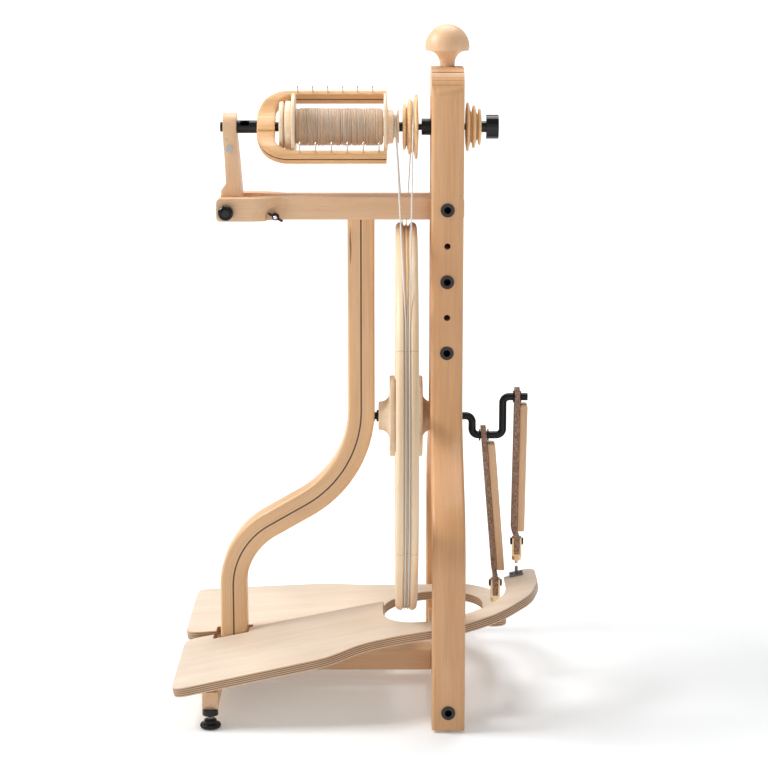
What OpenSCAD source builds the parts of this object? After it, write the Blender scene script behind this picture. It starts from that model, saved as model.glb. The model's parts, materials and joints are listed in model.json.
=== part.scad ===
// Double treadle spinning wheel: a bent-laminated frame, a drive wheel with a two-throw crank,
// two treadles with footmen, and a flyer with its bobbin in double drive.
// X runs along the axle from the spinner to the crank, Z is up, and the origin is on the floor.
$fn = 96;

/* [Drive wheel] */
// Outer diameter of the drive wheel
wheel_d = 495; // [440:1:510]
// Width of the rim
rim_w = 27; // [24:0.5:32]
// Radial depth of the rim
rim_depth = 36; // [28:1:44]
// Height of the axle above the floor
axle_h = 350.5; // [345:0.5:356]
// Where the wheel's plane stands along the axle
wheel_x = 59.5; // [57:0.5:62]
// Number of turned spokes
spoke_count = 8; // [6:1:10]
// Diameter of a spoke at its middle
spoke_d = 15; // [12:0.5:18]
// Diameter of the hub
hub_d = 103.5; // [96:0.5:112]
// Width of the hub between its flange faces
hub_w = 42; // [38:0.5:44]
// Diameter of the hub's two bosses
boss_d = 36.6; // [32:0.2:40]
// Length of the hub over its bosses
hub_len = 70; // [66:0.5:72]
// Diameter of the axle and crank rod
rod_d = 9.5; // [8.5:0.1:10.5]
// Throw of each crank pin
crank_r = 25; // [22:0.5:27]

/* [Uprights and legs] */
// Width of an upright along the axle
leg_w = 40; // [36:0.5:44]
// Where the uprights stand, behind the wheel's plane
leg_x = 50.3; // [49:0.1:52]
// Thickness of the outer maple lamination
leg_outer_t = 15; // [12:0.5:17]
// Thickness of the dark ply in every bent member
walnut_t = 2; // [1:0.1:3]
// Thickness of the inner maple lamination
leg_inner_t = 13; // [10:0.5:15]
// Space between the two uprights
leg_gap = 56; // [52:0.5:60]
// Height of the uprights' rounded top
leg_top = 793; // [780:1:806]
// Rounding over the top of the uprights
top_round = 33; // [26:0.5:36]
// Height at which a leg starts to bend outwards
leg_bend_z = 388; // [380:1:396]
// Middle radius of the legs' bends
leg_bend_r = 85; // [75:1:95]
// Angle that the legs lean out between their bends
leg_bend_a = 55; // [50:1:58]
// Straight stretch between a leg's bends
leg_bend_mid = 92; // [86:1:98]

/* [Front post] */
// Thickness of the front post along the axle
post_t = 34; // [30:0.5:38]
// Width of the front post across the wheel
post_w = 36; // [32:0.5:40]
// Where the post's top stands, in front of the wheel's plane
post_x = 56.9; // [54:0.2:60]
// Height at which the post starts to bend forwards
post_bend_z = 361; // [355:1:367]
// Middle radius of the post's upper bend
post_r_top = 143; // [134:1:152]
// Middle radius of the post's lower bend
post_r_low = 94; // [86:1:102]
// Angle of the post between its bends
post_bend_a = 60; // [57:0.5:62]
// Straight stretch between the post's bends
post_mid = 55; // [48:1:62]

/* [Mother-of-all] */
// Height of the rails' underside
rail_z = 606; // [604:0.5:610]
// Height of a rail's section
rail_h = 28; // [24:0.5:32]
// Thickness of a rail
rail_t = 25; // [21:0.5:26]
// Reach of the rails in front of the wheel's plane
rail_front = 235; // [228:0.5:240]
// Reach of the rails behind the wheel's plane
rail_back = 72; // [70:0.5:73]
// How far each rail flares outwards at the front
rail_flare = 22; // [18:0.5:24]
// Middle radius of the flare's two bends
flare_r = 32; // [28:1:36]
// Length of the straight front end that clamps the maiden
rail_block = 40; // [36:0.5:44]

/* [Flyer and bobbin] */
// Height of the flyer's axis
flyer_h = 718.9; // [716:0.1:722]
// Front of the flyer frame, in front of the wheel's plane
flyer_front = 186; // [184:0.5:187]
// Length of the flyer's arms from its front face
flyer_len = 161.3; // [158:0.1:164]
// Outer width of the flyer frame
flyer_w = 106; // [100:1:112]
// Thickness of the flyer board
flyer_t = 18; // [15:0.5:20]
// Width of a flyer arm
arm_w = 8; // [7:0.5:9]
// Turn of the flyer about its axis in the stored pose
flyer_turn = 45; // [0:1:90]
// Diameter of the bobbin's large flanges
bobbin_d = 82.4; // [78:0.2:84]
// Diameter of the wound yarn
yarn_d = 47.4; // [42:0.2:52]
// Diameter of the flyer shaft inside the bobbin
shaft_d = 12; // [10:0.1:13]
// Diameter of the orifice tube
tube_d = 16; // [15:0.1:17]
// Number of hooks on each arm
hook_count = 6; // [4:1:7]

/* [Treadles] */
// Thickness of the treadle boards
board_t = 12; // [9:0.5:14]
// Half width of the pair of treadles
treadle_y = 196; // [188:1:202]
// Gap between the two boards
treadle_gap = 6; // [4:0.5:8]
// Height of the treadles' hinge rod
hinge_z = 40; // [38:0.5:42]
// Height of a board's top over the hinge rod
board_rise = 23.6; // [23:0.1:25]
// Rise of the near board towards the crank in the stored pose
near_slope = 11.6; // [11:0.1:12.2]
// Rise of the far board towards the crank in the stored pose
far_slope = 3.6; // [3:0.1:4.2]

/* [Footmen] */
// Thickness of a footman's flexible strap
strap_t = 6.5; // [5:0.5:7.5]
// Width of a footman's flexible strap
strap_w = 25; // [20:1:28]
// Thickness of the wooden bar behind a strap
bar_t = 9.6; // [8:0.2:10.2]

/* [Tension] */
// Diameter of the mushroom knob
knob_d = 55; // [48:1:62]
// Diameter of the tension screw
screw_d = 8; // [6:0.5:10]

/* [Base] */
// Half length of the front foot bar
foot_bar_y = 190; // [184:1:196]
// Height of the bars' section at the front
foot_bar_h = 21.5; // [19:0.5:21.5]
// Height of the front foot bar's underside, which the levelling feet carry
foot_z = 24; // [23:0.5:24]

/* [Hidden] */

// Fits and allowances
over = 1;              // overrun of a cut past its face
run_gap = 0.08;        // radial clearance of a running fit
seat_gap = 0.3;        // clearance at a seat that moves
tight_gap = 0.02;      // radial clearance of a fixed pin in its hole
thin = 0.5;            // smallest step between two faces

maple = [0.91, 0.76, 0.58];
pale_maple = [0.94, 0.83, 0.68];
walnut = [0.30, 0.18, 0.12];
birch = [0.93, 0.85, 0.73];
black = [0.08, 0.08, 0.08];
steel = [0.72, 0.72, 0.74];
zinc = [0.80, 0.72, 0.38];
strap_brown = [0.38, 0.27, 0.20];
yarn_tan = [0.77, 0.70, 0.60];
cord_white = [0.96, 0.96, 0.94];

// Legs and uprights
leg_mid_y = leg_gap / 2 + leg_inner_t + walnut_t / 2;
leg_cx = wheel_x + leg_x;
leg_drop = 2 * leg_bend_r * sin(leg_bend_a) + leg_bend_mid * cos(leg_bend_a);
leg_shift = 2 * leg_bend_r * (1 - cos(leg_bend_a)) + leg_bend_mid * sin(leg_bend_a);
leg_foot_y = leg_mid_y + leg_shift;
pad_h = 3;             // thickness of the rubber pads under the legs
pad_d = 18;
leg_out = walnut_t / 2 + leg_outer_t;
leg_in = walnut_t / 2 + leg_inner_t;

// Front post
post_cx = wheel_x - post_x;
post_drop = (post_r_top + post_r_low) * sin(post_bend_a) + post_mid * cos(post_bend_a);
post_shift = (post_r_top + post_r_low) * (1 - cos(post_bend_a)) + post_mid * sin(post_bend_a);
post_foot_x = post_cx - post_shift;
post_foot_z = foot_z - 8;

// Wheel
wheel_r = wheel_d / 2;
rim_round = 6;         // rounding of the rim's shoulders
groove_depth = 5;      // depth of each band groove
groove_a = 35;         // half angle of a band groove
band_d = 2;            // diameter of the drive band
band_u = 2.2;          // each turn of the band runs this far from the rim's middle
boss_fillet = 11.7;    // hollow between a hub flange and its boss
flange_t = 7;          // thickness of a hub flange
hub_core = 5.7;        // depth of the channel that the spokes enter
spoke_hub_in = 8;      // depth of a spoke in the hub
spoke_rim_in = 8;      // depth of a spoke in the rim
spoke_neck = 10;       // diameter of a spoke at its ends
swell_share = 0.42;    // radius of a spoke near its ends, as a share of its full width

// Crank: bends, and places of its webs and pins behind the wheel's plane
crank_bend = 8;
web_near = 85;
web_far = 124;
rod_end = 155.5;
axle_front = 67;
spacer_d = 15;
spacer_t = 2.6;
bush_d = 15;
pin_up_z = axle_h + crank_r;
pin_low_z = axle_h - crank_r;
clip_d = 15;
clip_t = 1.6;

// A ring sector from angle a0 to a1, less than a half turn
module sector(r_in, r_out, a0, a1) {
  mid_a = (a0 + a1) / 2;
  far = r_out * 3;
  intersection() {
    difference() {
      circle(r_out);
      circle(r_in);
    }
    polygon([[0, 0], [far * cos(a0), far * sin(a0)], [far * cos(mid_a), far * sin(mid_a)],
             [far * cos(a1), far * sin(a1)]]);
  }
}

// One ply of an S-bent strip: it comes down a straight of length top, swings to the left by th,
// runs straight for mid, swings back and goes down for bottom. a and b are its two faces.
module s_strip(r1, r2, th, mid, top, bottom, a, b) {
  p1 = [-r1 + r1 * cos(th), -r1 * sin(th)];
  p2 = p1 + mid * [-sin(th), -cos(th)];
  c2 = p2 + r2 * [cos(th), -sin(th)];
  translate([a, 0]) square([b - a, top]);
  translate([-r1, 0]) sector(r1 + a, r1 + b, -th, 0);
  if (mid > 0) translate(p1) rotate(-th) translate([a, -mid]) square([b - a, mid]);
  translate(c2) sector(r2 - b, r2 - a, 180 - th, 180);
  if (bottom > 0) translate(c2 + [-r2 + a, -bottom]) square([b - a, bottom]);
}

// Stands a 2D outline across the wheel (drawn x to Y, drawn y to Z), w thick along X
module across(w) {
  rotate([90, 0, 90]) translate([0, 0, -w / 2]) linear_extrude(w) children();
}
// Stands a 2D outline along the axle (drawn x to X, drawn y to Z), w thick along Y
module along(w) {
  rotate([90, 0, 0]) translate([0, 0, -w / 2]) linear_extrude(w) children();
}
module rod_x(d, x0, x1) {
  translate([x0, 0, 0]) rotate([0, 90, 0]) cylinder(d = d, h = x1 - x0);
}
module rod_y(d, y0, y1) {
  translate([0, y1, 0]) rotate([90, 0, 0]) cylinder(d = d, h = y1 - y0);
}
module ring_x(d, bore, x0, x1) {
  difference() {
    rod_x(d, x0, x1);
    rod_x(bore, x0 - over, x1 + over);
  }
}
module block(x0, x1, y0, y1, z0, z1) {
  translate([x0, y0, z0]) cube([x1 - x0, y1 - y0, z1 - z0]);
}
module round_box_2d(w, h, r) {
  translate([-w / 2 + r, -h / 2]) square([w - 2 * r, h]);
  translate([-w / 2, -h / 2 + r]) square([w, h - 2 * r]);
  for (i = [-1, 1], j = [-1, 1]) translate([i * (w / 2 - r), j * (h / 2 - r)]) circle(r);
}

// Front post
bush_front = wheel_x - axle_front - thin;
bush_len_f = post_cx + post_t / 2 - bush_front;
hinge_x = post_foot_x;
hinge_rod_d = 6.5;
hinge_rod_y = 138;
module axle_hole_front() {
  translate([0, 0, axle_h]) rod_x(bush_d + 2 * tight_gap, bush_front, post_cx + post_t);
}
module hinge_hole(gap) {
  translate([hinge_x, 0, hinge_z]) rod_y(hinge_rod_d + 2 * gap, -hinge_rod_y - over, hinge_rod_y + over);
}
module post_ply(a, b) {
  difference() {
    translate([post_cx, 0, post_bend_z]) along(post_w)
      s_strip(post_r_top, post_r_low, post_bend_a, post_mid, rail_z - post_bend_z,
              post_bend_z - post_drop - post_foot_z, a, b);
    axle_hole_front();
    hinge_hole(tight_gap);
  }
}
module post_front_lamination() {
  color(maple) post_ply(-post_t / 2, -walnut_t / 2);
}
module post_walnut_ply() {
  color(walnut) post_ply(-walnut_t / 2, walnut_t / 2);
}
module post_rear_lamination() {
  color(maple) post_ply(walnut_t / 2, post_t / 2);
}

// Legs
bolt_d = 8;            // shank of the frame bolts
bolt_head = 16.8;
bolt_seat = 4;         // depth of the counterbore for a bolt head
bolt_proud = 1.4;      // how far a head stands out of the wood
bolt_hex = 8;
bolt_zs = [620.9, 531.8, 442.5];
hole_zs = [576.3, 487.1];
open_hole_d = 7.9;
foot_bolt_z = 25.3;
foot_bolt_in = 40;     // depth of a lower bolt in the stretcher
leg_face = leg_gap / 2 + leg_inner_t + walnut_t + leg_outer_t;
foot_face = leg_foot_y + leg_out;
module bolt_holes() {
  for (z = bolt_zs) translate([leg_cx, 0, z]) {
    rod_y(bolt_d + 2 * tight_gap, -leg_face - over, leg_face + over);
    rod_y(bolt_head + 2 * tight_gap, -leg_face - over, -leg_face + bolt_seat);
    rod_y(bolt_head + 2 * tight_gap, leg_face - bolt_seat, leg_face + over);
  }
  for (z = hole_zs) translate([leg_cx, 0, z]) rod_y(open_hole_d, -leg_face - over, leg_face + over);
}
module foot_bolt_holes() {
  for (s = [-1, 1]) translate([leg_cx, 0, foot_bolt_z]) mirror([0, s > 0 ? 0 : 1, 0]) {
    rod_y(bolt_d + 2 * tight_gap, foot_face - 2 * leg_out - foot_bolt_in, foot_face + over);
    rod_y(bolt_head + 2 * tight_gap, foot_face - bolt_seat, foot_face + over);
  }
}
// The far leg's ply between the faces a and b, counted outwards from the walnut's middle
module leg_ply(a, b) {
  difference() {
    intersection() {
      translate([leg_cx, 0, 0]) across(leg_w)
        translate([leg_mid_y, leg_bend_z]) mirror([1, 0])
          s_strip(leg_bend_r, leg_bend_r, leg_bend_a, leg_bend_mid, leg_top - leg_bend_z,
                  leg_bend_z - leg_drop - pad_h, -b, -a);
      translate([leg_cx, 0, 0]) across(leg_w + 2 * over) union() {
        translate([0, 0]) square([foot_face + over, leg_top - top_round]);
        translate([leg_face - top_round, leg_top - top_round]) circle(top_round);
      }
    }
    bolt_holes();
    foot_bolt_holes();
  }
}
module near_leg_outer() {
  color(maple) mirror([0, 1, 0]) leg_ply(walnut_t / 2, leg_out);
}
module near_leg_walnut() {
  color(walnut) mirror([0, 1, 0]) leg_ply(-walnut_t / 2, walnut_t / 2);
}
module near_leg_inner() {
  color(maple) mirror([0, 1, 0]) leg_ply(-leg_in, -walnut_t / 2);
}
module far_leg_outer() {
  color(maple) leg_ply(walnut_t / 2, leg_out);
}
module far_leg_walnut() {
  color(walnut) leg_ply(-walnut_t / 2, walnut_t / 2);
}
module far_leg_inner() {
  color(maple) leg_ply(-leg_in, -walnut_t / 2);
}

// Head block, its walnut plate, and the board between the uprights
head_h = 36;           // height of the head block
plate_w = 19.4;
plate_h = 5;
board_low = 305;       // lower end of the axle board
board_front = 7.4;     // the axle board lies this far behind the uprights' front face
board_back = 5;
inside_y = leg_gap / 2;
leg_front = leg_cx - leg_w / 2;
leg_back = leg_cx + leg_w / 2;
module head_block() {
  color(maple) difference() {
    block(leg_front, leg_back, -inside_y, inside_y, leg_top - head_h, leg_top);
    translate([leg_cx - plate_w / 2, -plate_w / 2, leg_top - plate_h]) cube([plate_w, plate_w,
        plate_h + over]);
    translate([leg_cx, 0, leg_top - head_h - over]) cylinder(d = screw_d + 2 * run_gap,
        h = head_h + 2 * over);
  }
}
module head_walnut_plate() {
  color(walnut) difference() {
    translate([leg_cx - plate_w / 2, -plate_w / 2, leg_top - plate_h]) cube([plate_w, plate_w, plate_h]);
    translate([leg_cx, 0, leg_top - plate_h - over]) cylinder(d = screw_d + 2 * run_gap,
        h = plate_h + 2 * over);
  }
}
module axle_board() {
  color(maple) difference() {
    block(leg_front + board_front, leg_back - board_back, -inside_y, inside_y, board_low, rail_z);
    bolt_holes();
    translate([0, 0, axle_h]) rod_x(bush_d + 2 * tight_gap, leg_front, leg_back);
  }
}

// Rails and the front maiden
rail_gap = 5.5;        // space between the two rails
rail_cy = rail_gap / 2 + rail_t / 2;
flare_a = acos(1 - rail_flare / (2 * flare_r));
flare_len = 2 * flare_r * sin(flare_a);
rail_x1 = wheel_x + rail_back;
rail_x0 = wheel_x - rail_front;
flare_x1 = rail_x0 + rail_block + flare_len;
rail_round = 5;
maiden_in_y = rail_gap / 2 + rail_flare;
maiden_axle_x = wheel_x - 222.6;
maiden_axle_z = 617.7;
clamp_d = 6;
clamp_knob_d = 19;
wing_x = wheel_x - 162.2;
wing_z = 611;
wing_seat_y = 34.5;     // the nut's spot face stands this far from the middle
wing_seat_d = 25;
wing_bolt_d = 5;
wing_bolt_in = 12;
module rail_raw() {
  intersection() {
    translate([flare_x1, -rail_cy, rail_z]) mirror([1, -1, 0]) linear_extrude(rail_h)
      s_strip(flare_r, flare_r, flare_a, 0, rail_x1 - flare_x1, rail_block, -rail_t / 2, rail_t / 2);
    translate([(rail_x0 + rail_x1) / 2, 0, rail_z + rail_h / 2]) along(4 * leg_face)
      round_box_2d(rail_x1 - rail_x0, rail_h, rail_round);
  }
}
module near_rail() {
  color(maple) difference() {
    rail_raw();
    bolt_holes();
    translate([maiden_axle_x, 0, maiden_axle_z]) rod_y(clamp_d + 2 * run_gap, -leg_face, leg_face);
    translate([wing_x, 0, wing_z]) rod_y(wing_seat_d, -leg_face, -wing_seat_y);
    translate([wing_x, 0, wing_z]) rod_y(wing_bolt_d + 2 * run_gap, -wing_seat_y - over,
        -wing_seat_y + wing_bolt_in);
  }
}
module far_rail() {
  color(maple) difference() {
    mirror([0, 1, 0]) rail_raw();
    bolt_holes();
    translate([maiden_axle_x, 0, maiden_axle_z]) rod_y(clamp_d + 2 * run_gap, -leg_face, leg_face);
  }
}
ball_x = wheel_x - 219.75;
ball_r = 11.5;
ball_half = 7.8;       // half length of the swivel bush
journal_d = 12.3;      // journal of the orifice tube in its bush
maiden_top = 17.1;     // height of the maiden over the flyer's axis
maiden_side = [[-230.4, 606], [-203, 606], [-205.6, 631], [-208.7, 679], [-211.5, 710], [-211.5, 740],
               [-228, 740], [-228, 710], [-225.6, 679], [-224.3, 650.5], [-230.4, 642]];
maiden_low_y = 24.2;
maiden_mid_z = 650;
maiden_screw_d = 9;
maiden_screw_x = wheel_x - 219.8;
maiden_screw_z = 693;
maiden_screw_h = 1.6;
maiden_pin_x = wheel_x - 224;
maiden_pin_z = 705;
maiden_pin_d = 3;
module front_maiden() {
  color(maple) difference() {
    intersection() {
      translate([wheel_x, 0, 0]) along(4 * maiden_low_y) polygon(maiden_side);
      translate([wheel_x - 216, 0, 0]) across(4 * maiden_low_y) union() {
        translate([0, flyer_h]) circle(maiden_top);
        polygon([[-maiden_low_y, rail_z], [maiden_low_y, rail_z], [maiden_low_y, maiden_mid_z],
                 [maiden_top, flyer_h], [-maiden_top, flyer_h], [-maiden_low_y, maiden_mid_z]]);
      }
    }
    translate([ball_x, 0, flyer_h]) sphere(ball_r + run_gap);
    translate([maiden_axle_x, 0, maiden_axle_z]) rod_y(clamp_d + 2 * run_gap, -leg_face, leg_face);
  }
}
maiden_slope = (maiden_low_y - maiden_top) / (flyer_h - maiden_mid_z);
maiden_tilt = atan(maiden_slope);
module on_maiden(x, z) {
  y = maiden_low_y - (z - maiden_mid_z) * maiden_slope + over / 20;
  translate([x, -y, z]) rotate([-maiden_tilt, 0, 0]) children();
}
module maiden_screws() {
  color(steel) {
    on_maiden(maiden_screw_x, maiden_screw_z) rod_y(maiden_screw_d, -maiden_screw_h, 0);
    on_maiden(maiden_pin_x, maiden_pin_z) rod_y(maiden_pin_d, -thin, 0);
  }
}

// Base
foot_bar_x1 = post_foot_x - 8;
foot_bar_x0 = foot_bar_x1 - 19;
spine_h = 29;
spine_w = 33;
spine_low = 14.5;
stretcher_w = 33;
stretcher_h = 28;
stretcher_low = 11;
leveller_y = 186;
leveller_x = foot_bar_x0 + 9.5;
cup_d = 19.5;
cup_h = 7.4;
stud_d = 5.5;
disc_d = 26;
disc_h = 6;
disc_step_d = 15.7;
disc_step_h = 5;
stud_top = 40;
module foot_bar() {
  color(maple) difference() {
    block(foot_bar_x0, foot_bar_x1, -foot_bar_y, foot_bar_y, foot_z, foot_z + foot_bar_h);
    block(post_foot_x - post_t / 2, post_foot_x, -post_w / 2, post_w / 2, 0, foot_z + foot_bar_h + over);
    for (s = [-1, 1]) translate([leveller_x, s * leveller_y, foot_z - over])
      cylinder(d = stud_d + 2 * run_gap, h = stud_top - foot_z + 2 * over);
  }
}
module spine() {
  color(maple) block(post_foot_x + post_t / 2, leg_cx - stretcher_w / 2, -spine_w / 2, spine_w / 2,
                     spine_low, spine_low + spine_h);
}
module rear_stretcher() {
  color(maple) difference() {
    block(leg_cx - stretcher_w / 2, leg_cx + stretcher_w / 2, -foot_face + leg_out + leg_in,
          foot_face - leg_out - leg_in, stretcher_low, stretcher_low + stretcher_h);
    foot_bolt_holes();
  }
}
module rear_feet() {
  color(black) for (s = [-1, 1]) translate([leg_cx, s * leg_foot_y, 0]) cylinder(d = pad_d, h = pad_h,
      $fn = 48);
}
module leveller_cups() {
  color(black) for (s = [-1, 1]) translate([leveller_x, s * leveller_y, foot_z - cup_h]) difference() {
    cylinder(d = cup_d, h = cup_h, $fn = 48);
    translate([0, 0, -over]) cylinder(d = stud_d + 2 * run_gap, h = cup_h + 2 * over, $fn = 48);
  }
}
module leveller(s) {
  color(black) translate([leveller_x, s * leveller_y, 0]) {
    cylinder(d = disc_d, h = disc_h, $fn = 48);
    cylinder(d = disc_step_d, h = disc_h + disc_step_h, $fn = 48);
    cylinder(d = stud_d, h = stud_top, $fn = 48);
  }
}
module near_leveller() {
  leveller(-1);
}
module far_leveller() {
  leveller(1);
}
module hex_head(s) {
  difference() {
    rod_y(bolt_head, -bolt_seat, bolt_proud);
    translate([0, bolt_proud + thin, 0]) rotate([90, 0, 0]) cylinder(d = bolt_hex, h = bolt_seat, $fn = 6);
  }
}
module frame_bolts() {
  color(black) {
    for (z = bolt_zs) translate([leg_cx, 0, z]) {
      rod_y(bolt_d, -leg_face + bolt_seat, leg_face - bolt_seat, $fn = 36);
      for (s = [0, 1]) mirror([0, s, 0]) translate([0, leg_face, 0]) hex_head();
    }
    for (s = [0, 1]) mirror([0, s, 0]) translate([leg_cx, foot_face, foot_bolt_z]) {
      rod_y(bolt_d, -2 * leg_out - foot_bolt_in + over, -bolt_seat, $fn = 36);
      hex_head();
    }
  }
}
module axle_bushes() {
  color(black) translate([0, 0, axle_h]) {
    ring_x(bush_d, rod_d + 2 * run_gap, bush_front, post_cx + post_t / 2);
    ring_x(bush_d, rod_d + 2 * run_gap, leg_front + board_front, leg_back - board_back);
  }
}
module treadle_rod() {
  color(steel) translate([hinge_x, 0, hinge_z]) rod_y(hinge_rod_d, -hinge_rod_y, hinge_rod_y);
}

// Drive wheel
module wheel_rim() {
  color(pale_maple) difference() {
    translate([wheel_x, 0, axle_h]) rotate([0, 90, 0]) rotate_extrude($fn = 144) difference() {
      translate([wheel_r - rim_depth / 2, 0]) round_box_2d(rim_depth, rim_w, rim_round);
      for (s = [-1, 1]) translate([wheel_r - groove_depth, s * band_u])
        polygon([[0, 0], [2 * groove_depth, -2 * groove_depth * tan(groove_a)],
                 [2 * groove_depth, 2 * groove_depth * tan(groove_a)]]);
    }
    spoke_cores(tight_gap);
  }
}
spoke_r0 = hub_d / 2 - hub_core - spoke_hub_in;
spoke_r1 = wheel_r - rim_depth + spoke_rim_in;
module spoke_cores(gap) {
  for (i = [0 : spoke_count - 1]) translate([wheel_x, 0, axle_h]) rotate([(i + 0.5)
      * 360 / spoke_count, 0, 0])
    translate([0, 0, spoke_r0 - gap]) cylinder(d = spoke_neck + 2 * gap,
        h = spoke_r1 - spoke_r0 + 2 * gap, $fn = 24);
}
spoke_in = wheel_r - rim_depth - 1.5;
spoke_out = hub_d / 2 + 1.5;
module wheel_spokes() {
  color(pale_maple) for (i = [0 : spoke_count - 1]) translate([wheel_x, 0, axle_h])
    rotate([(i + 0.5) * 360 / spoke_count, 0, 0]) rotate_extrude($fn = 24)
      polygon([[0, spoke_r0], [spoke_neck / 2, spoke_r0], [spoke_neck / 2, spoke_out],
               [spoke_d * swell_share, spoke_out + spoke_d], [spoke_d / 2, (spoke_out + spoke_in) / 2],
               [spoke_d * swell_share, spoke_in - spoke_d], [spoke_neck / 2, spoke_in],
                   [spoke_neck / 2, spoke_r1],
               [0, spoke_r1]]);
}
module wheel_hub() {
  color(pale_maple) difference() {
    translate([wheel_x, 0, axle_h]) rotate([0, 90, 0]) rotate_extrude($fn = 72) difference() {
      union() {
        translate([0, -hub_w / 2]) square([hub_d / 2 - hub_core, hub_w]);
        for (s = [-1, 1]) mirror([0, s > 0 ? 0 : 1]) {
          translate([0, hub_w / 2 - flange_t]) square([hub_d / 2, flange_t]);
          translate([0, hub_w / 2 - thin]) square([boss_d / 2, hub_len / 2 - hub_w / 2 + thin]);
          difference() {
            translate([0, hub_w / 2]) square([boss_d / 2 + boss_fillet, boss_fillet]);
            translate([boss_d / 2 + boss_fillet, hub_w / 2 + boss_fillet]) circle(boss_fillet);
          }
        }
      }
      translate([-over, -hub_len]) square([rod_d / 2 + tight_gap + over, 2 * hub_len]);
    }
    spoke_cores(tight_gap);
  }
}
// A quarter bend of the crank rod, from +X to +Z, about a point crank_bend above the start
module rod_bend() {
  translate([0, 0, crank_bend]) rotate([90, 0, 0]) rotate([0, 0, -90]) rotate_extrude(angle = 90, $fn = 36)
    translate([crank_bend, 0]) circle(d = rod_d, $fn = 24);
}
module rod_z(d, z0, z1) {
  translate([0, 0, z0]) cylinder(d = d, h = z1 - z0, $fn = 36);
}
web_n = wheel_x + web_near;
web_f = wheel_x + web_far;
module crank_axle() {
  color(black) union() {
    translate([0, 0, axle_h]) rod_x(rod_d, wheel_x - axle_front, web_n - crank_bend, $fn = 36);
    translate([web_n - crank_bend, 0, axle_h]) mirror([0, 0, 1]) rod_bend();
    translate([web_n, 0, 0]) rod_z(rod_d, pin_low_z + crank_bend, axle_h - crank_bend);
    translate([web_n + crank_bend, 0, pin_low_z]) mirror([1, 0, 0]) rod_bend();
    translate([0, 0, pin_low_z]) rod_x(rod_d, web_n + crank_bend, web_f - crank_bend, $fn = 36);
    translate([web_f - crank_bend, 0, pin_low_z]) rod_bend();
    translate([web_f, 0, 0]) rod_z(rod_d, pin_low_z + crank_bend, pin_up_z - crank_bend);
    translate([web_f + crank_bend, 0, pin_up_z]) mirror([1, 0, 0]) mirror([0, 0, 1]) rod_bend();
    translate([0, 0, pin_up_z]) rod_x(rod_d, web_f + crank_bend, wheel_x + rod_end, $fn = 36);
  }
}
clip_near_xs = [138.5, 147.2];
clip_far_xs = [95.5, 106.1];
module crank_clips() {
  color(black) {
    for (x = clip_near_xs) translate([0, 0, pin_up_z])
      ring_x(clip_d, rod_d + 2 * tight_gap, wheel_x + x - clip_t, wheel_x + x, $fn = 36);
    for (x = clip_far_xs) translate([0, 0, pin_low_z])
      ring_x(clip_d, rod_d + 2 * tight_gap, wheel_x + x - clip_t, wheel_x + x, $fn = 36);
    translate([0, 0, axle_h]) ring_x(spacer_d, rod_d + 2 * tight_gap, wheel_x - hub_len / 2 - spacer_t,
                                     wheel_x - hub_len / 2, $fn = 48);
  }
}

// Footmen. Every side view is drawn behind the wheel's plane
near_strap_side = [[138.8, 392], [145.3, 392], [145.4, 366], [143.6, 200], [147.4, 191], [147.4, 166],
                   [140.6, 166], [140.6, 190], [136.6, 201], [138.8, 366]];
near_bar_side = [[145.4, 366], [155.2, 366], [153, 200], [143.6, 200]];
far_strap_side = [[95.4, 341], [102, 341], [104.13, 315.5], [118.12, 148], [120.2, 137], [120.2, 110],
                  [113.6, 110], [113.6, 137], [111.6, 148]];
far_bar_side = [[104.13, 315.5], [114.2, 315.5], [128, 148], [118.12, 148]];
near_pin_z = 184.4;
far_pin_z = 128.6;
near_low_x = 144;      // middle of the near strap's lower end
far_low_x = 116.9;
clevis_wall = 2.4;
clevis_w = 12;
clevis_h = 24;
clevis_pin_d = 5;
stem_d = 4;
stem_gap = 4.5;        // each footman's stem stops this far above its treadle's stud
stem_top_drop = 26;
stem_low_drop = 29.4;
nut_d = 12;
nut_h = 6;
strap_bow_w = 7.2;
module footman_strap(side, pin_z, low_x, low_z) {
  color(strap_brown) difference() {
    translate([wheel_x, 0, 0]) intersection() {
      along(strap_w) polygon(side);
      translate([low_x - strap_w, 0, 0]) across(6 * strap_w) union() {
        translate([0, pin_z]) circle(strap_w / 2);
        translate([-strap_w / 2, low_z]) square([strap_w, pin_z - low_z]);
      }
    }
    translate([0, 0, pin_z]) rod_x(rod_d + 2 * run_gap, wheel_x, wheel_x + rod_end + over);
    translate([wheel_x + low_x, 0, 0]) clevis_hole(low_z);
  }
}
module clevis_hole(z) {
  translate([0, 0, z + clevis_pin_up]) rod_x(clevis_pin_d + 2 * tight_gap, -strap_w, strap_w);
}
clevis_pin_up = 14;    // the clevis pin stands this far above the strap's lower end
module near_footman_strap() {
  footman_strap(near_strap_side, pin_up_z, near_low_x, near_pin_z - clevis_pin_up);
}
module far_footman_strap() {
  footman_strap(far_strap_side, pin_low_z, far_low_x, far_pin_z - clevis_pin_up);
}
module near_footman_bar() {
  color(maple) translate([wheel_x, 0, 0]) along(strap_w) polygon(near_bar_side);
}
module far_footman_bar() {
  color(maple) translate([wheel_x, 0, 0]) along(strap_w) polygon(far_bar_side);
}
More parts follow.
